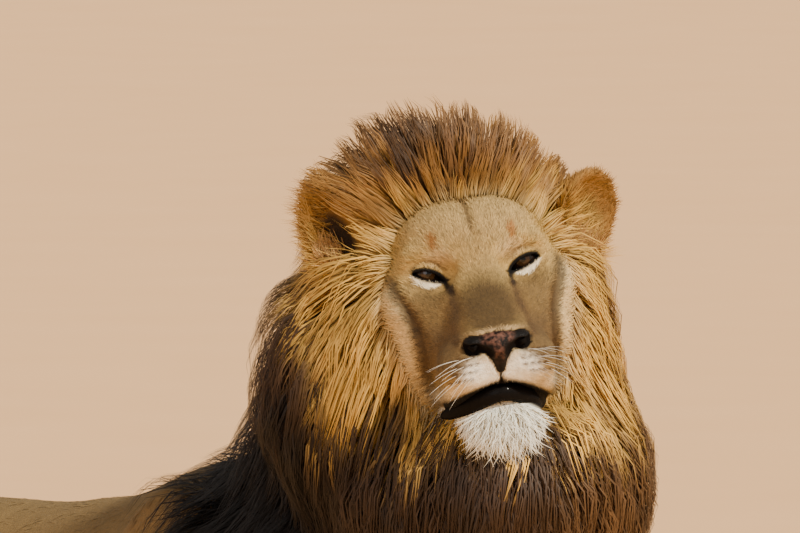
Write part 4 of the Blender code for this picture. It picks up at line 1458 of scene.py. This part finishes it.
class Finish:
    """A new material and its nodes."""

    def __init__(self, name, roughness, specular, coat=0.0, coat_roughness=0.1):
        self.material = bpy.data.materials.new(name)
        self.material.use_nodes = True
        self.tree = self.material.node_tree
        self.shader = self.tree.nodes["Principled BSDF"]
        self.shader.inputs["Roughness"].default_value = roughness
        self.shader.inputs["Specular IOR Level"].default_value = specular
        self.shader.inputs["Coat Weight"].default_value = coat
        self.shader.inputs["Coat Roughness"].default_value = coat_roughness

    def add(self, kind, settings=None, inputs=None, output=0):
        node = self.tree.nodes.new(kind)
        for setting, value in (settings or {}).items():
            setattr(node, setting, value)
        for socket, value in (inputs or {}).items():
            self.feed(node.inputs[socket], value)
        return Value(self, node.outputs[output])

    def feed(self, socket, value):
        if isinstance(value, Value):
            self.tree.links.new(value.socket, socket)
        elif isinstance(value, np.ndarray):
            socket.default_value = (*value, 1.0)
        else:
            socket.default_value = value

    def attribute(self, name, output="Fac"):
        return self.add("ShaderNodeAttribute", {"attribute_name": name}, None, output)

    def where(self):
        return self.add("ShaderNodeTexCoord", None, None, "Object")

    def stretched(self, scale):
        return self.add("ShaderNodeMapping", None, {"Vector": self.where(), "Scale": scale})

    def noise(self, scale, detail=3.0, places=None):
        return self.add("ShaderNodeTexNoise", None,
                        {"Vector": places or self.where(), "Scale": scale, "Detail": detail})

    def cells(self, scale):
        return self.add("ShaderNodeTexVoronoi", None, {"Vector": self.where(), "Scale": scale})

    def mix(self, share, first, second, blend="MIX"):
        node = self.tree.nodes.new("ShaderNodeMix")
        node.data_type = "RGBA"
        node.blend_type = blend
        self.feed(node.inputs[0], share)
        self.feed(node.inputs[6], first)
        self.feed(node.inputs[7], second)
        return Value(self, node.outputs[2])

    def grey(self, value):
        return self.add("ShaderNodeCombineColor", None, {0: value, 1: value, 2: value})

    def times(self, colour, value):
        return self.mix(1.0, colour, self.grey(value), "MULTIPLY")

    def colour(self, value):
        self.feed(self.shader.inputs["Base Color"], value)

    def bump(self, height, depth, strength=1.0):
        self.feed(self.shader.inputs["Normal"], self.add(
            "ShaderNodeBump", None, {"Height": height, "Distance": depth, "Strength": strength}))


print("shader maths ready")

# %% Fur, mane and skin
def skin_finish():
    """Short fur seen from above: the markings, broken up by fine speckle and streaks."""
    finish = Finish("skin and undercoat", 0.80, specular=0.22)
    speckle = finish.noise(760.0, 3.0)
    clumps = finish.noise(250.0, 3.0)
    streak = finish.noise(1.0, 4.0, finish.stretched((900.0, 200.0, 420.0)))
    uneven = finish.noise(46.0, 3.0)
    shade = 0.18 + 0.55 * speckle + 0.45 * clumps + 0.35 * streak + 0.30 * uneven
    finish.colour(finish.times(finish.attribute("tones", "Color"), shade))
    finish.bump(0.4 * speckle + 0.5 * clumps + 0.4 * streak, 0.0022, 0.9)
    return finish.material


def hair_finish(name, roughness, root_shade, tip_light):
    """Hair: darker at the root as painted shade where it meets the skin, lighter towards the tip, with
    fine streaks along the strand.
    """
    finish = Finish(name, roughness, specular=0.30)
    along = finish.attribute("along")
    streak = finish.noise(700.0, 2.0)
    # painted shade at the root, then lighter towards the tip
    shade = root_shade + (1 - root_shade) * along.ramp(0.0, 0.45) + tip_light * along.ramp(0.5, 1.0)
    finish.colour(finish.times(finish.attribute("tones", "Color"), shade * (0.80 + 0.40 * streak)))
    return finish.material


short_fur = hair_finish("short fur", 0.68, 0.86, 0.10)
long_hair = hair_finish("mane hair", 0.55, 0.78, 0.12)
skin.data.materials.clear()
skin.data.materials.append(skin_finish())
skin.data.shade_smooth()
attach(skin, "root")
FLESH = [node for node in frame["nodes"] if not node.startswith(("eye", "nose"))]
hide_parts(*FLESH)
print("skin replaces", len(FLESH), "nodes")

# %% [markdown]
# ## Short coat
# On the trunk and legs the fur lies so flat that the skin's own finish carries most of it, and thin
# tufts break it up. On the face the tufts are only a few millimetres long, and on the chin they
# hang as a white beard.

# %% Lay short tufts
SINK = 0.0006  # how far below the skin each tuft begins


def short_tufts(name, roots, lengths, widths, lift, seed, rings=2, curl=0.10, sway=0.30,
                colours=None, mottle=0.07):
    """Straight little tufts that leave the skin at `lift` and curve back towards it."""
    chance = np.random.default_rng(seed)
    count = len(roots.places)
    lie = flattened(skin_lie(roots.places), roots.normals)
    aside = np.cross(roots.normals, lie)
    lie = unit(lie + aside * chance.normal(0, sway, (count, 1)))
    lengths = lengths * chance.uniform(0.75, 1.25, count)
    widths = widths * chance.uniform(0.8, 1.2, count)
    lift = np.broadcast_to(lift, count) * chance.uniform(0.7, 1.3, count)
    steps = np.linspace(0, 1, rings + 1)
    bow = chance.normal(0, curl, (count, 1))
    rise = (lengths * lift)[:, None] * steps * (1 - 0.35 * steps) - SINK
    paths = (roots.places[:, None] + roots.normals[:, None] * rise[:, :, None]
             + lie[:, None] * (lengths[:, None] * steps)[:, :, None]
             + aside[:, None] * (lengths[:, None] * bow * steps ** 2)[:, :, None])
    profile = np.linspace(1.0, 0.55, rings)
    if colours is None:
        colours = skin_tones(roots.places)
    colours = colours * chance.normal(1.0, mottle, (count, 1)).clip(0.5, 1.5)
    return hairs(name, paths, widths[:, None] * profile, roots.normals, roots, colours,
                 short_fur)


def trunk_density(places):
    keep = 1 - np.maximum(mane_share(places), head_share(places))
    feet = smooth_step(0.13, 0.08, places[:, 2]) * (np.abs(places[:, 0]) > 0.09)
    return keep * (1 + 1.2 * feet) * (places[:, 2] > 0.006)


def trunk_coat(name, count, low, high, seed):
    roots = scatter(count, lambda places: trunk_density(places) * (places[:, 1] > low)
                    * (places[:, 1] <= high), seed)
    feet = (smooth_step(0.13, 0.07, roots.places[:, 2])
            * smooth_step(0.085, 0.11, np.abs(roots.places[:, 0])))
    return short_tufts(name, roots, 0.024 - 0.014 * feet, 0.0032 - 0.0016 * feet, 0.08, seed + 1)


trunk_coat("coat_forequarters", 9500, -1.0, 0.36, 11)
trunk_coat("coat_hindquarters", 9500, 0.36, 2.0, 13)


def bare(local):
    """1 on the lids, lips and nose, where no hair grows."""
    mouth = on_mouth(local, MOUTH_HALF - 0.0004, 0.2, 0.0008)
    lids = smooth_step(0.0022, 0.0008, beyond_lids(local)) * (local[:, 1] < 0.02)
    on_nose = outline(out_of_head(local), nose_leather_parts) < 0.0008
    return np.maximum(np.maximum(mouth * (local[:, 1] < -0.02), lids), on_nose)


def face_density(places):
    local = in_head(places)
    near = head_share(places) * (1 - mane_share(places)) * (1 - bare(local))
    muzzle = smooth_step(0.02, -0.06, local[:, 1])
    return near * (0.8 + 1.0 * muzzle)


def face_coat(name, count, keep, seed):
    roots = scatter(count, lambda places: face_density(places) * keep(in_head(places)), seed)
    local = in_head(roots.places)
    forward = smooth_step(0.05, -0.13, local[:, 1])
    near_lids = smooth_step(0.010, 0.002, beyond_lids(local))
    length = (0.0110 - 0.0056 * forward) * (1 - 0.55 * near_lids)
    return short_tufts(name, roots, length, 0.00125 - 0.0004 * forward, 0.30, seed + 1, mottle=0.26)


face_coat("coat_brow", 13500, lambda local: local[:, 2] > -0.030, 21)
face_coat("coat_muzzle", 13500, lambda local: local[:, 2] <= -0.030, 23)


def chin_density(places):
    local = in_head(places)
    return (spot(local * FACE_ON, (-0.012, 0, -0.176), (0.060, 1, 0.028), 0.4)
            * (local[:, 1] < -0.025) * (1 - bare(local)))


chin_roots = scatter(3400, chin_density, 25)
lower = smooth_step(-0.160, -0.195, in_head(chin_roots.places)[:, 2])
short_tufts("coat_chin", chin_roots, 0.020 + 0.018 * lower, 0.0014, 0.52, 26, rings=3, curl=0.25,
            sway=0.40)


def fringe_density(places):
    """Along the hairline, where face hair lengthens into the mane."""
    local = in_head(places)
    room = -mane_distance(places)
    return (smooth_step(-0.022, -0.004, room) * smooth_step(0.026, 0.012, room) * head_share(places)
            * (local[:, 1] < 0.110) * (local[:, 2] > -0.215) * (1 - bare(local)))


fringe_roots = scatter(10500, fringe_density, 27)
deep = smooth_step(-0.020, 0.020, -mane_distance(fringe_roots.places))
fringe_tones = paint(skin_tones(fringe_roots.places), deep, mane_tones(fringe_roots.places))
short_tufts("coat_fringe", fringe_roots, 0.012 + 0.034 * deep, 0.0014, 0.36, 28, curl=0.15,
            sway=0.25, colours=fringe_tones)


def collar_density(places):
    """Along the mane's edge over the shoulders, where it thins out onto the short coat."""
    room = -mane_distance(places)
    return (smooth_step(-0.030, -0.004, room) * smooth_step(0.030, 0.012, room)
            * (1 - head_share(places)) * (places[:, 2] > 0.135))


collar_roots = scatter(2600, collar_density, 35)
deep = smooth_step(-0.030, 0.006, -mane_distance(collar_roots.places))
collar_tones = paint(skin_tones(collar_roots.places), 0.35 + 0.65 * deep,
                     mane_tones(collar_roots.places))
short_tufts("coat_collar", collar_roots, 0.022 + 0.040 * deep, 0.0022, 0.16, 36, rings=3,
            curl=0.15, sway=0.28, colours=collar_tones)

# %% Hair in the ears
# How many long hairs each ear has, and where they root: a middle in the ear's frame, and radii.
EAR_HAIRS = {1: 380, -1: 700}
HAIR_BEDS = {1: ((0, -0.006, -0.036), (0.030, 0.030, 0.016)),
             -1: ((-0.018, -0.006, -0.028), (0.014, 0.030, 0.020))}


def ear_hair(side):
    """Long golden hairs that stand up in front of the ear's cup."""
    count = EAR_HAIRS[side]

    def density(places):
        return spot(in_ear(in_head(places), side), *HAIR_BEDS[side], 0.3)

    roots = scatter(count, density, 29 + side)
    upward = np.array(HEAD.to_3x3() @ ear_axes(side).col[2])
    outward = -np.array(HEAD.to_3x3() @ ear_axes(side).col[1])
    chance = np.random.default_rng(33 + side)
    way = unit(upward * 0.9 + outward * 0.5 + chance.normal(0, 0.30, (count, 3)))
    lengths = chance.uniform(0.014, 0.028, (count, 1, 1))
    steps = np.linspace(0, 1, 5)[None, :, None]
    paths = roots.places[:, None] - roots.normals[:, None] * SINK + way[:, None] * lengths * steps
    paths += (roots.normals[:, None] - way[:, None]) * 0.18 * lengths * steps ** 2
    widths = np.full((count, 1), 0.0011) * np.linspace(1, 0.5, 4)
    shade = chance.normal(1, 0.15, (count, 1)).clip(0.5, 1.4)
    colours = np.tile(tone(196, 156, 100), (count, 1)) * shade
    hairs("ear_hair_" + SIDES[side], paths, widths, roots.normals, roots, colours, short_fur)


for side in SIDES:
    ear_hair(side)

# %% [markdown]
# ## The mane
# Mane hair grows in locks: strands that share a path and close together towards a wavy point. About
# 2,500 guides are walked through the space between the skin and the mane's outer shape, each at its
# own depth there, and each of some 37,000 strands follows its own walk but closes in on its nearest
# guide. The walks follow mane and shoulders together, so locks run out over the short coat.

# %% Walk a path through the mane
WALK_STEPS = 4
PROBE = 0.003  # how far off the slope of the outline is felt
KEPT_WAY = 0.35  # the share of its last way that each step keeps
MOST_CLIMB = 0.8  # how steeply a step may climb or drop, as a share of its length
ON_COAT = 0.004  # how deep locks lie in the short coat that they run out onto

shoulders = trunk_masses()[:2] + both_sides(lambda side: [
    Ball((side * 0.120, -0.030, 0.362), (0.055, 0.130, 0.155), 0.06),
    Ball((side * 0.160, -0.130, 0.270), (0.070, 0.145, 0.180), 0.05)])
mane_and_shoulders = mane + shoulders


def walk(roots, lengths, layers, seed, wave):
    """Paths from the roots along the mane's lie, each kept at its layer: 0 at the skin, 1 outside.
    Also gives the way out of the mane at each step. `wave` is a share of the step's length."""
    chance = np.random.default_rng(seed)
    count = len(roots.places)
    room = np.clip(-mane_distance(roots.places), ON_COAT, 0.060)
    crest = crest_share(roots.places)
    place = roots.places
    paths, slopes = [place], []
    step = lengths / WALK_STEPS
    drift = unit(chance.normal(0, 1, (count, 3))) * 0.16
    phase = chance.uniform(0, math.tau, count)
    upright = 0.15 + 0.75 * smooth_step(0.006, 0.030, room)
    way = unit(roots.normals * upright[:, None] + mane_lie(place))
    for index in range(WALK_STEPS):
        here = outline(place, mane_and_shoulders)
        deep = np.clip(-mane_distance(place), ON_COAT, room)
        slope = unit(np.stack([outline(place + offset, mane_and_shoulders) - here
                               for offset in np.eye(3) * PROBE], axis=1) / PROBE)
        slopes.append(slope)
        wanted = mane_lie(place) + drift
        wanted = wanted - (wanted * slope).sum(1)[:, None] * slope
        share = (index + 1) / WALK_STEPS
        target = -(1 - layers) * deep + (0.004 + 0.011 * crest) * layers * share ** 2
        climb = np.clip((target - here) / np.maximum(step, 1e-4), -MOST_CLIMB, MOST_CLIMB)
        way = unit(way * KEPT_WAY + unit(wanted) * (1 - KEPT_WAY) + slope * climb[:, None])
        swing = np.cross(slope, way) * (wave * step * np.sin(phase + index * 1.70) * share)[:, None]
        place = place + way * step[:, None] + swing
        paths.append(place)
    return np.stack(paths, axis=1), np.stack(slopes, axis=1)


def mane_lengths(roots, chance):
    """Short at the hairline, long in the ruffs and on the throat."""
    inside = smooth_step(0.004, 0.030, -mane_distance(roots.places))
    crest = crest_share(roots.places)
    length = 0.150 * (1 - crest) + 0.092 * crest
    length = (0.030 + (length - 0.030) * inside) * chance.uniform(0.75, 1.2, len(inside))
    return np.minimum(length, np.maximum(roots.places[:, 2] - 0.012, 0.025))


EAR_ROOM = (0.040, 0.046, 0.050)  # no lock passes through this ball round an ear's cup


def clear_of_ears(paths):
    clear = np.ones(len(paths), bool)
    local = in_head(paths.reshape(-1, 3))
    for side in SIDES:
        own = in_ear(local, side)
        inside = (np.linalg.norm(own / np.array(EAR_ROOM), axis=1) < 1) & (own[:, 1] < 0.010)
        clear &= ~inside.reshape(paths.shape[:2]).any(axis=1)
    return clear


print("walk:", WALK_STEPS, "steps")

# %% Grow the locks
CLOSING = 0.66  # how far strands close in on their guide at the tip
STRAND_WIDTH = 0.0024
GUIDE_WAVE = 0.42  # how far guides swing to and fro, as a share of a step
STRAND_WAVE = 0.10
ASTRAY = (0.012, 0.012, 0.024)  # how far off each guide takes its tone, so that edges are ragged


def locks(name, guides, strands, region, seed):
    def density(places):
        room = -mane_distance(places)
        return (smooth_step(-0.003, 0.004, room) * (1 + smooth_step(0.024, 0.010, room))
                * region(places) * (places[:, 2] > 0.02))

    chance = np.random.default_rng(seed)
    guide_roots = scatter(guides, density, seed + 1)
    guide_layers = chance.uniform(0.60, 1.08, guides)
    guide_paths, _ = walk(guide_roots, mane_lengths(guide_roots, chance) * 1.08, guide_layers,
                          seed + 2, GUIDE_WAVE)
    roots = scatter(strands, density, seed + 3)
    finder = KDTree(guides)
    for index, place in enumerate(guide_roots.places):
        finder.insert(place, index)
    finder.balance()
    nearest = np.array([finder.find(place)[1] for place in roots.places])
    layers = np.clip(guide_layers[nearest] * chance.uniform(0.75, 1.0, strands) * chance.choice(
        (1.0, 0.6, 0.3), strands, p=(0.62, 0.24, 0.14)), 0.08, 1.08)
    own, slopes = walk(roots, mane_lengths(roots, chance), layers, seed + 4, STRAND_WAVE)
    steps = np.linspace(0, 1, WALK_STEPS + 1)
    close = (CLOSING * steps ** 1.3 * smooth_step(0.15, 0.5, layers)[:, None])[:, :, None]
    paths = own * (1 - close) + guide_paths[nearest] * close
    profile = np.interp(np.linspace(0, 1, WALK_STEPS), (0, 0.25, 0.7, 1), (0.6, 1.0, 0.80, 0.34))
    room = -mane_distance(roots.places)
    grown = 0.50 + 0.50 * smooth_step(0.002, 0.030, room)
    widths = STRAND_WIDTH * grown[:, None] * chance.uniform(0.6, 1.25, (strands, 1)) * profile
    astray = (chance.normal(0, 1, (guides, 3)) * np.array(ASTRAY))[nearest]
    colours = np.stack([mane_tones(paths[:, index] + astray) for index in range(WALK_STEPS + 1)],
                       axis=1)
    at_root = skin_tones(roots.places)[:, None]
    young = (1 - smooth_step(0.002, 0.028, room))[:, None] * (1 - steps)
    colours = colours * (1 - young[:, :, None]) + at_root * young[:, :, None]
    # painted shade: strands in the lower layers of the mane are darker, as if shaded by those over them
    depth = 0.66 + 0.34 * smooth_step(0.15, 0.80, layers)
    clump = chance.normal(1.0, 0.16, guides)[nearest]
    # the painted shade of deep strands, times a random tone for each lock and each strand
    colours = colours * (depth * clump * chance.normal(1.0, 0.06, strands))[:, None, None].clip(0.3, 1.6)
    facing = unit(slopes + chance.normal(0, 0.10, (strands, 1, 3)))
    keep = clear_of_ears(paths)
    return hairs(name, paths[keep], widths[keep], facing[keep], roots.only(keep), colours[keep],
                 long_hair)


def on_crest(places):
    return head_share(places) * (in_head(places)[:, 2] > 0.035)


def on_ruff(side):
    def region(places):
        local = in_head(places)
        return (head_share(places) * (local[:, 2] <= 0.035) * (local[:, 0] * side > 0)
                * (local[:, 1] < 0.16))
    return region


def on_neck(places):
    local = in_head(places)
    behind_ruffs = head_share(places) * (local[:, 2] <= 0.035) * (local[:, 1] >= 0.16)
    behind_ruffs *= 1 + 1.5 * (local[:, 0] < -0.10)
    return behind_ruffs + (1 - head_share(places)) * (places[:, 1] > -0.26)


def on_chest(places):
    on_foreleg = (places[:, 2] < 0.125) * ((np.abs(places[:, 0]) > 0.09) + (places[:, 1] < -0.40))
    return (1 - head_share(places)) * (places[:, 1] <= -0.26) * (on_foreleg == 0)


for name, guides, strands, region, seed in (
        ("locks_crest", 520, 7400, on_crest, 31),
        ("locks_ruff_left", 480, 8200, on_ruff(1), 41),
        ("locks_ruff_right", 480, 8400, on_ruff(-1), 51),
        ("locks_neck", 540, 7300, on_neck, 61),
        ("locks_chest", 440, 6000, on_chest, 71)):
    locks(name, guides, strands, region, seed)

# %% The tail's tuft
TUFT_STRANDS = 900


def tail_tuft():
    """Black locks round the end of the tail, pointing the way it points."""
    end = np.array(tail_route()[-1])
    ahead = np.array(TAIL_TUFT_WAY.normalized())

    def density(places):
        past = (places - end) @ ahead
        off = np.linalg.norm(places - end - past[:, None] * ahead, axis=1)
        return (past > -0.035) * (past < 0.20) * (off < 0.06) * (places[:, 1] < 0.86)

    chance = np.random.default_rng(81)
    roots = scatter(TUFT_STRANDS, density, 82)
    past = (roots.places - end) @ ahead
    lengths = chance.uniform(0.05, 0.085, (TUFT_STRANDS, 1, 1)) * np.where(
        past[:, None, None] > 0.10, 0.75, 1.0)
    steps = np.linspace(0, 1, WALK_STEPS + 1)[None, :, None]
    out = unit(roots.places - end - np.clip(past, 0, 1)[:, None] * ahead)
    paths = roots.places[:, None] + ahead * lengths * steps + out[:, None] * 0.020 * np.sin(steps * 2.6)
    paths += chance.normal(0, 0.004, (TUFT_STRANDS, 1, 3)) * steps ** 2
    widths = 0.0034 * np.linspace(1, 0.4, WALK_STEPS) * np.ones((TUFT_STRANDS, 1))
    shade = chance.normal(1, 0.25, (TUFT_STRANDS, 1)).clip(0.4, 1.8)
    colours = np.tile(tone(30, 21, 15), (TUFT_STRANDS, 1)) * shade
    hairs("locks_tail", paths, widths, out, roots, colours, long_hair)


tail_tuft()

# %% [markdown]
# ## Nose, lip, lids and eyes: their finishes
# The nose is finely pebbled and dark, pinkish along its top. The lip is black and barely shines.
# The iris is dark brown, with fine spokes round a round pupil, under a clear wet coat.

# %% Bare finishes
def nose_finish():
    finish = Finish("nose leather", 0.55, specular=0.15)
    pebbles = finish.cells(900.0)
    uneven = finish.noise(190.0, 4.0)
    pink = finish.attribute("pink") * uneven.ramp(0.34, 0.68)
    base = finish.mix(pink, tone(12, 8, 7), tone(104, 71, 59))
    finish.feed(finish.shader.inputs["Roughness"], 0.48 + 0.5 * finish.attribute("hollow"))
    finish.colour(finish.times(base, 0.75 + 0.5 * pebbles))
    finish.bump(pebbles, 0.0005, 0.8)
    return finish.material


def lip_finish():
    finish = Finish("black lip", 0.68, specular=0.06, coat=0.06, coat_roughness=0.10)
    uneven = finish.noise(220.0, 3.0)
    finish.colour(finish.mix(uneven, tone(4, 4, 4), tone(18, 15, 15)))
    finish.bump(uneven, 0.0006, 0.5)
    return finish.material


def eye_finish():
    finish = Finish("wet eye", 0.08, specular=0.25, coat=0.45, coat_roughness=0.03)
    off = finish.attribute("off_axis")
    spokes = finish.noise(9.0, 4.0, finish.attribute("round_pupil", "Vector"))
    iris = finish.mix(spokes, tone(30, 20, 11), tone(64, 42, 21))
    iris = finish.mix(off.ramp(0.36, 0.50), iris, tone(22, 14, 8))
    iris = finish.mix(off.ramp(0.52, 0.58), iris, tone(30, 21, 15))
    finish.colour(finish.mix(1 - off.ramp(0.150, 0.175), iris, tone(3, 2, 2)))
    return finish.material


pink_places = in_head(places_of(nose))
pink_aside = np.abs(pink_places[:, 0])
pink = (smooth_step(-0.0885, -0.0820, pink_places[:, 2]) * smooth_step(0.0230, 0.0120, pink_aside)
        + 0.8 * smooth_step(0.0075, 0.0035, pink_aside)
        * smooth_step(-0.112, -0.096, pink_places[:, 2]))
nostril_depth = np.min([part.distance(places_of(nose)) for part in nostril_parts], axis=0)
pink = pink * smooth_step(0.0010, 0.0036, nostril_depth)
hollow = smooth_step(0.0020, 0.0004, nostril_depth)
for name, values in (("pink", pink), ("hollow", hollow)):
    store(nose.data, name, "FLOAT", np.clip(values, 0, 1))
nose.data.materials.append(nose_finish())
nose.data.shade_smooth()
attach(nose, "root")
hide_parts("nose")
lip.data.materials.append(lip_finish())
wet_eye = eye_finish()
for eye in eyes:
    eye.data.materials.append(wet_eye)
print("bare finishes on", nose.name, lip.name)

# %% [markdown]
# ## Whiskers and claws
# Sixteen short white whiskers stand in the dark spots of each pad. Every toe has a claw, drawn
# back at rest so that little more than its curved tip shows between the fur.

# %% Whiskers
WHISKER_LENGTH = 0.034
WHISKER_WIDTHS = (0.00052, 0.00022)  # at the root and near the tip
WHISKER_SAG = 0.22  # as a share of its length


def plain_finish(name, roughness, first, second, scale):
    finish = Finish(name, roughness, specular=0.45)
    finish.colour(finish.mix(finish.noise(scale, 3.0), first, second))
    return finish.material


def whiskers(side, material):
    chance = np.random.default_rng(90 + side)
    tree = skin_tree()
    places, normals = [], []
    for aside, up in whisker_places():
        hit, normal, _, _ = tree.ray_cast(HEAD @ Vector((side * aside, -0.30, up)), forward)
        places.append(hit)
        normals.append(normal)
    places, normals = np.array(places), np.array(normals)
    count = len(places)
    outward = np.array(HEAD.to_3x3() @ Vector((side * 0.9, -0.05, -0.25)))
    way = unit(normals * 0.5 + outward + chance.normal(0, 0.10, (count, 3)))
    lengths = WHISKER_LENGTH * chance.uniform(0.6, 1.3, (count, 1, 1))
    steps = np.linspace(0, 1, 9)[None, :, None]
    paths = (places[:, None] + way[:, None] * lengths * steps
             - np.array((0, 0, WHISKER_SAG)) * lengths * steps ** 2)
    widths = np.linspace(*WHISKER_WIDTHS, 8) * np.ones((count, 1))
    roots = Roots(places, normals, np.full((count, 2), 0.5) + chance.uniform(-0.4, 0.4, (count, 2)))
    hairs("whiskers_" + SIDES[side], paths, widths, normals, roots,
          np.tile(tone(240, 234, 222), (count, 1)), material)


whisker_white = plain_finish("whisker", 0.4, tone(238, 232, 220), tone(214, 204, 186), 300.0)
for side in SIDES:
    whiskers(side, whisker_white)

# %% Claws
CLAW_LENGTH = 0.017
CLAW_RADIUS = 0.0036
CLAW_BEND = math.radians(75)
CLAW_STEPS = 6


def claw(name, toe, material):
    """A curved, pointed horn from the front of a toe, down towards the floor."""
    tip_of_toe = Vector(toe.centre) + Vector((0, -toe.radii[1] * 0.92, -0.002))
    route, radii = [], []
    for step in range(CLAW_STEPS + 1):
        share = step / CLAW_STEPS
        angle = share * CLAW_BEND
        curve = Vector((0, -math.sin(angle), -(1 - math.cos(angle)) * 0.9))
        route.append(tip_of_toe + curve * CLAW_LENGTH * 0.8 + Vector((0, 0.006, 0)))
        radius = CLAW_RADIUS * (1 - 0.86 * share ** 1.5)
        radii.append((radius * 0.6, radius))
    made = tube(name, route, radii, Vector((0, 0, 1)), 8)
    made.data.materials.append(material)
    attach(made, "root")


horn = plain_finish("horn", 0.35, tone(58, 50, 44), tone(134, 120, 100), 240.0)
for side, word in SIDES.items():
    for leg, toes in (("fore", fore_toes), ("hind", hind_toes)):
        for index, toe in enumerate(under(FOOT_COAT, toes(side))):
            claw(f"claw_{leg}_{word}_{index + 1}", toe, horn)
print("claws: 16")

# %% [markdown]
# ## The floor, the light and the camera
# A pale sandy floor, wide enough for every view. The key light comes from high in front of the
# body, which is to the left of the turned head, with a soft edge to its shadows. A weak lamp and a
# soft room fill the shaded side. The camera stands far off with a long lens, so that near and far
# parts keep their true proportions.

# %% Floor and lamps
FLOOR_RADIUS = 120.0
SUN_WAY = (0.01, -0.77, 0.68)  # from the lion towards the key light
SUN_STRENGTH = 4.9
SUN_SOFTNESS = math.radians(4)
SUN_COLOUR = (1.0, 0.91, 0.76)
ROOM_COLOUR = (0.90, 0.84, 0.78, 1)
ROOM_STRENGTH = 0.60


def floor_finish():
    finish = Finish("pale floor", 0.9, specular=0.1)
    uneven = finish.noise(3.0, 4.0)
    finish.colour(finish.mix(uneven, tone(244, 193, 140), tone(250, 201, 148)))
    return finish.material


bpy.ops.mesh.primitive_circle_add(vertices=96, radius=FLOOR_RADIUS, fill_type="NGON")
floor = bpy.context.object
floor.name = "floor"
floor.data.materials.append(floor_finish())


face_middle = HEAD @ Vector((0, -0.05, -0.06))
bpy.ops.object.light_add(type="SUN", location=(0, 0, 4))
sun = bpy.context.object
sun.name = "key"
sun.data.energy = SUN_STRENGTH
sun.data.angle = SUN_SOFTNESS
sun.data.color = SUN_COLOUR
sun.rotation_euler = Vector(SUN_WAY).to_track_quat("Z", "Y").to_euler()

fill_way = Vector((-4.5, -2.0, 1.2))  # from the face towards the lamp
bpy.ops.object.light_add(type="AREA", location=face_middle + fill_way)
fill = bpy.context.object
fill.name = "fill"
fill.data.shape = "DISK"
fill.data.size = 3.0
fill.data.energy = 40
fill.data.color = (0.92, 0.95, 1.0)
fill.data.specular_factor = 0.1
fill.rotation_euler = (-fill_way).to_track_quat("-Z", "Y").to_euler()
fill.visible_camera = False

world = bpy.data.worlds.new("soft room")
world.use_nodes = True
background = world.node_tree.nodes["Background"]
background.inputs["Color"].default_value = ROOM_COLOUR
background.inputs["Strength"].default_value = ROOM_STRENGTH
bpy.context.scene.world = world
print("lamps: key and fill")

# %% Camera
CAMERA_TURN = math.radians(-40)
CAMERA_RISE = math.radians(4)
CAMERA_DISTANCE = 15.0
FRAME_WIDTH = 0.90  # of what the picture shows at the lion's distance
HEAD_OFF_CENTRE = 0.0836  # how far right of the picture's middle the eyes are
SENSOR = 36.0

toward_camera = Vector((math.sin(CAMERA_TURN) * math.cos(CAMERA_RISE),
                        -math.cos(CAMERA_TURN) * math.cos(CAMERA_RISE), math.sin(CAMERA_RISE)))
rightward = Vector((math.cos(CAMERA_TURN), math.sin(CAMERA_TURN), 0))
middle = eyes_mid - rightward * HEAD_OFF_CENTRE
lens = bpy.data.cameras.new("long lens")
lens.sensor_width = SENSOR
lens.lens = SENSOR * CAMERA_DISTANCE / FRAME_WIDTH
lens.clip_end = 4 * FLOOR_RADIUS
camera = placed("camera", lens)
camera.location = middle + toward_camera * CAMERA_DISTANCE
camera.rotation_euler = (-toward_camera).to_track_quat("-Z", "Y").to_euler()
bpy.context.scene.camera = camera
print("camera:", [round(value, 2) for value in camera.location])
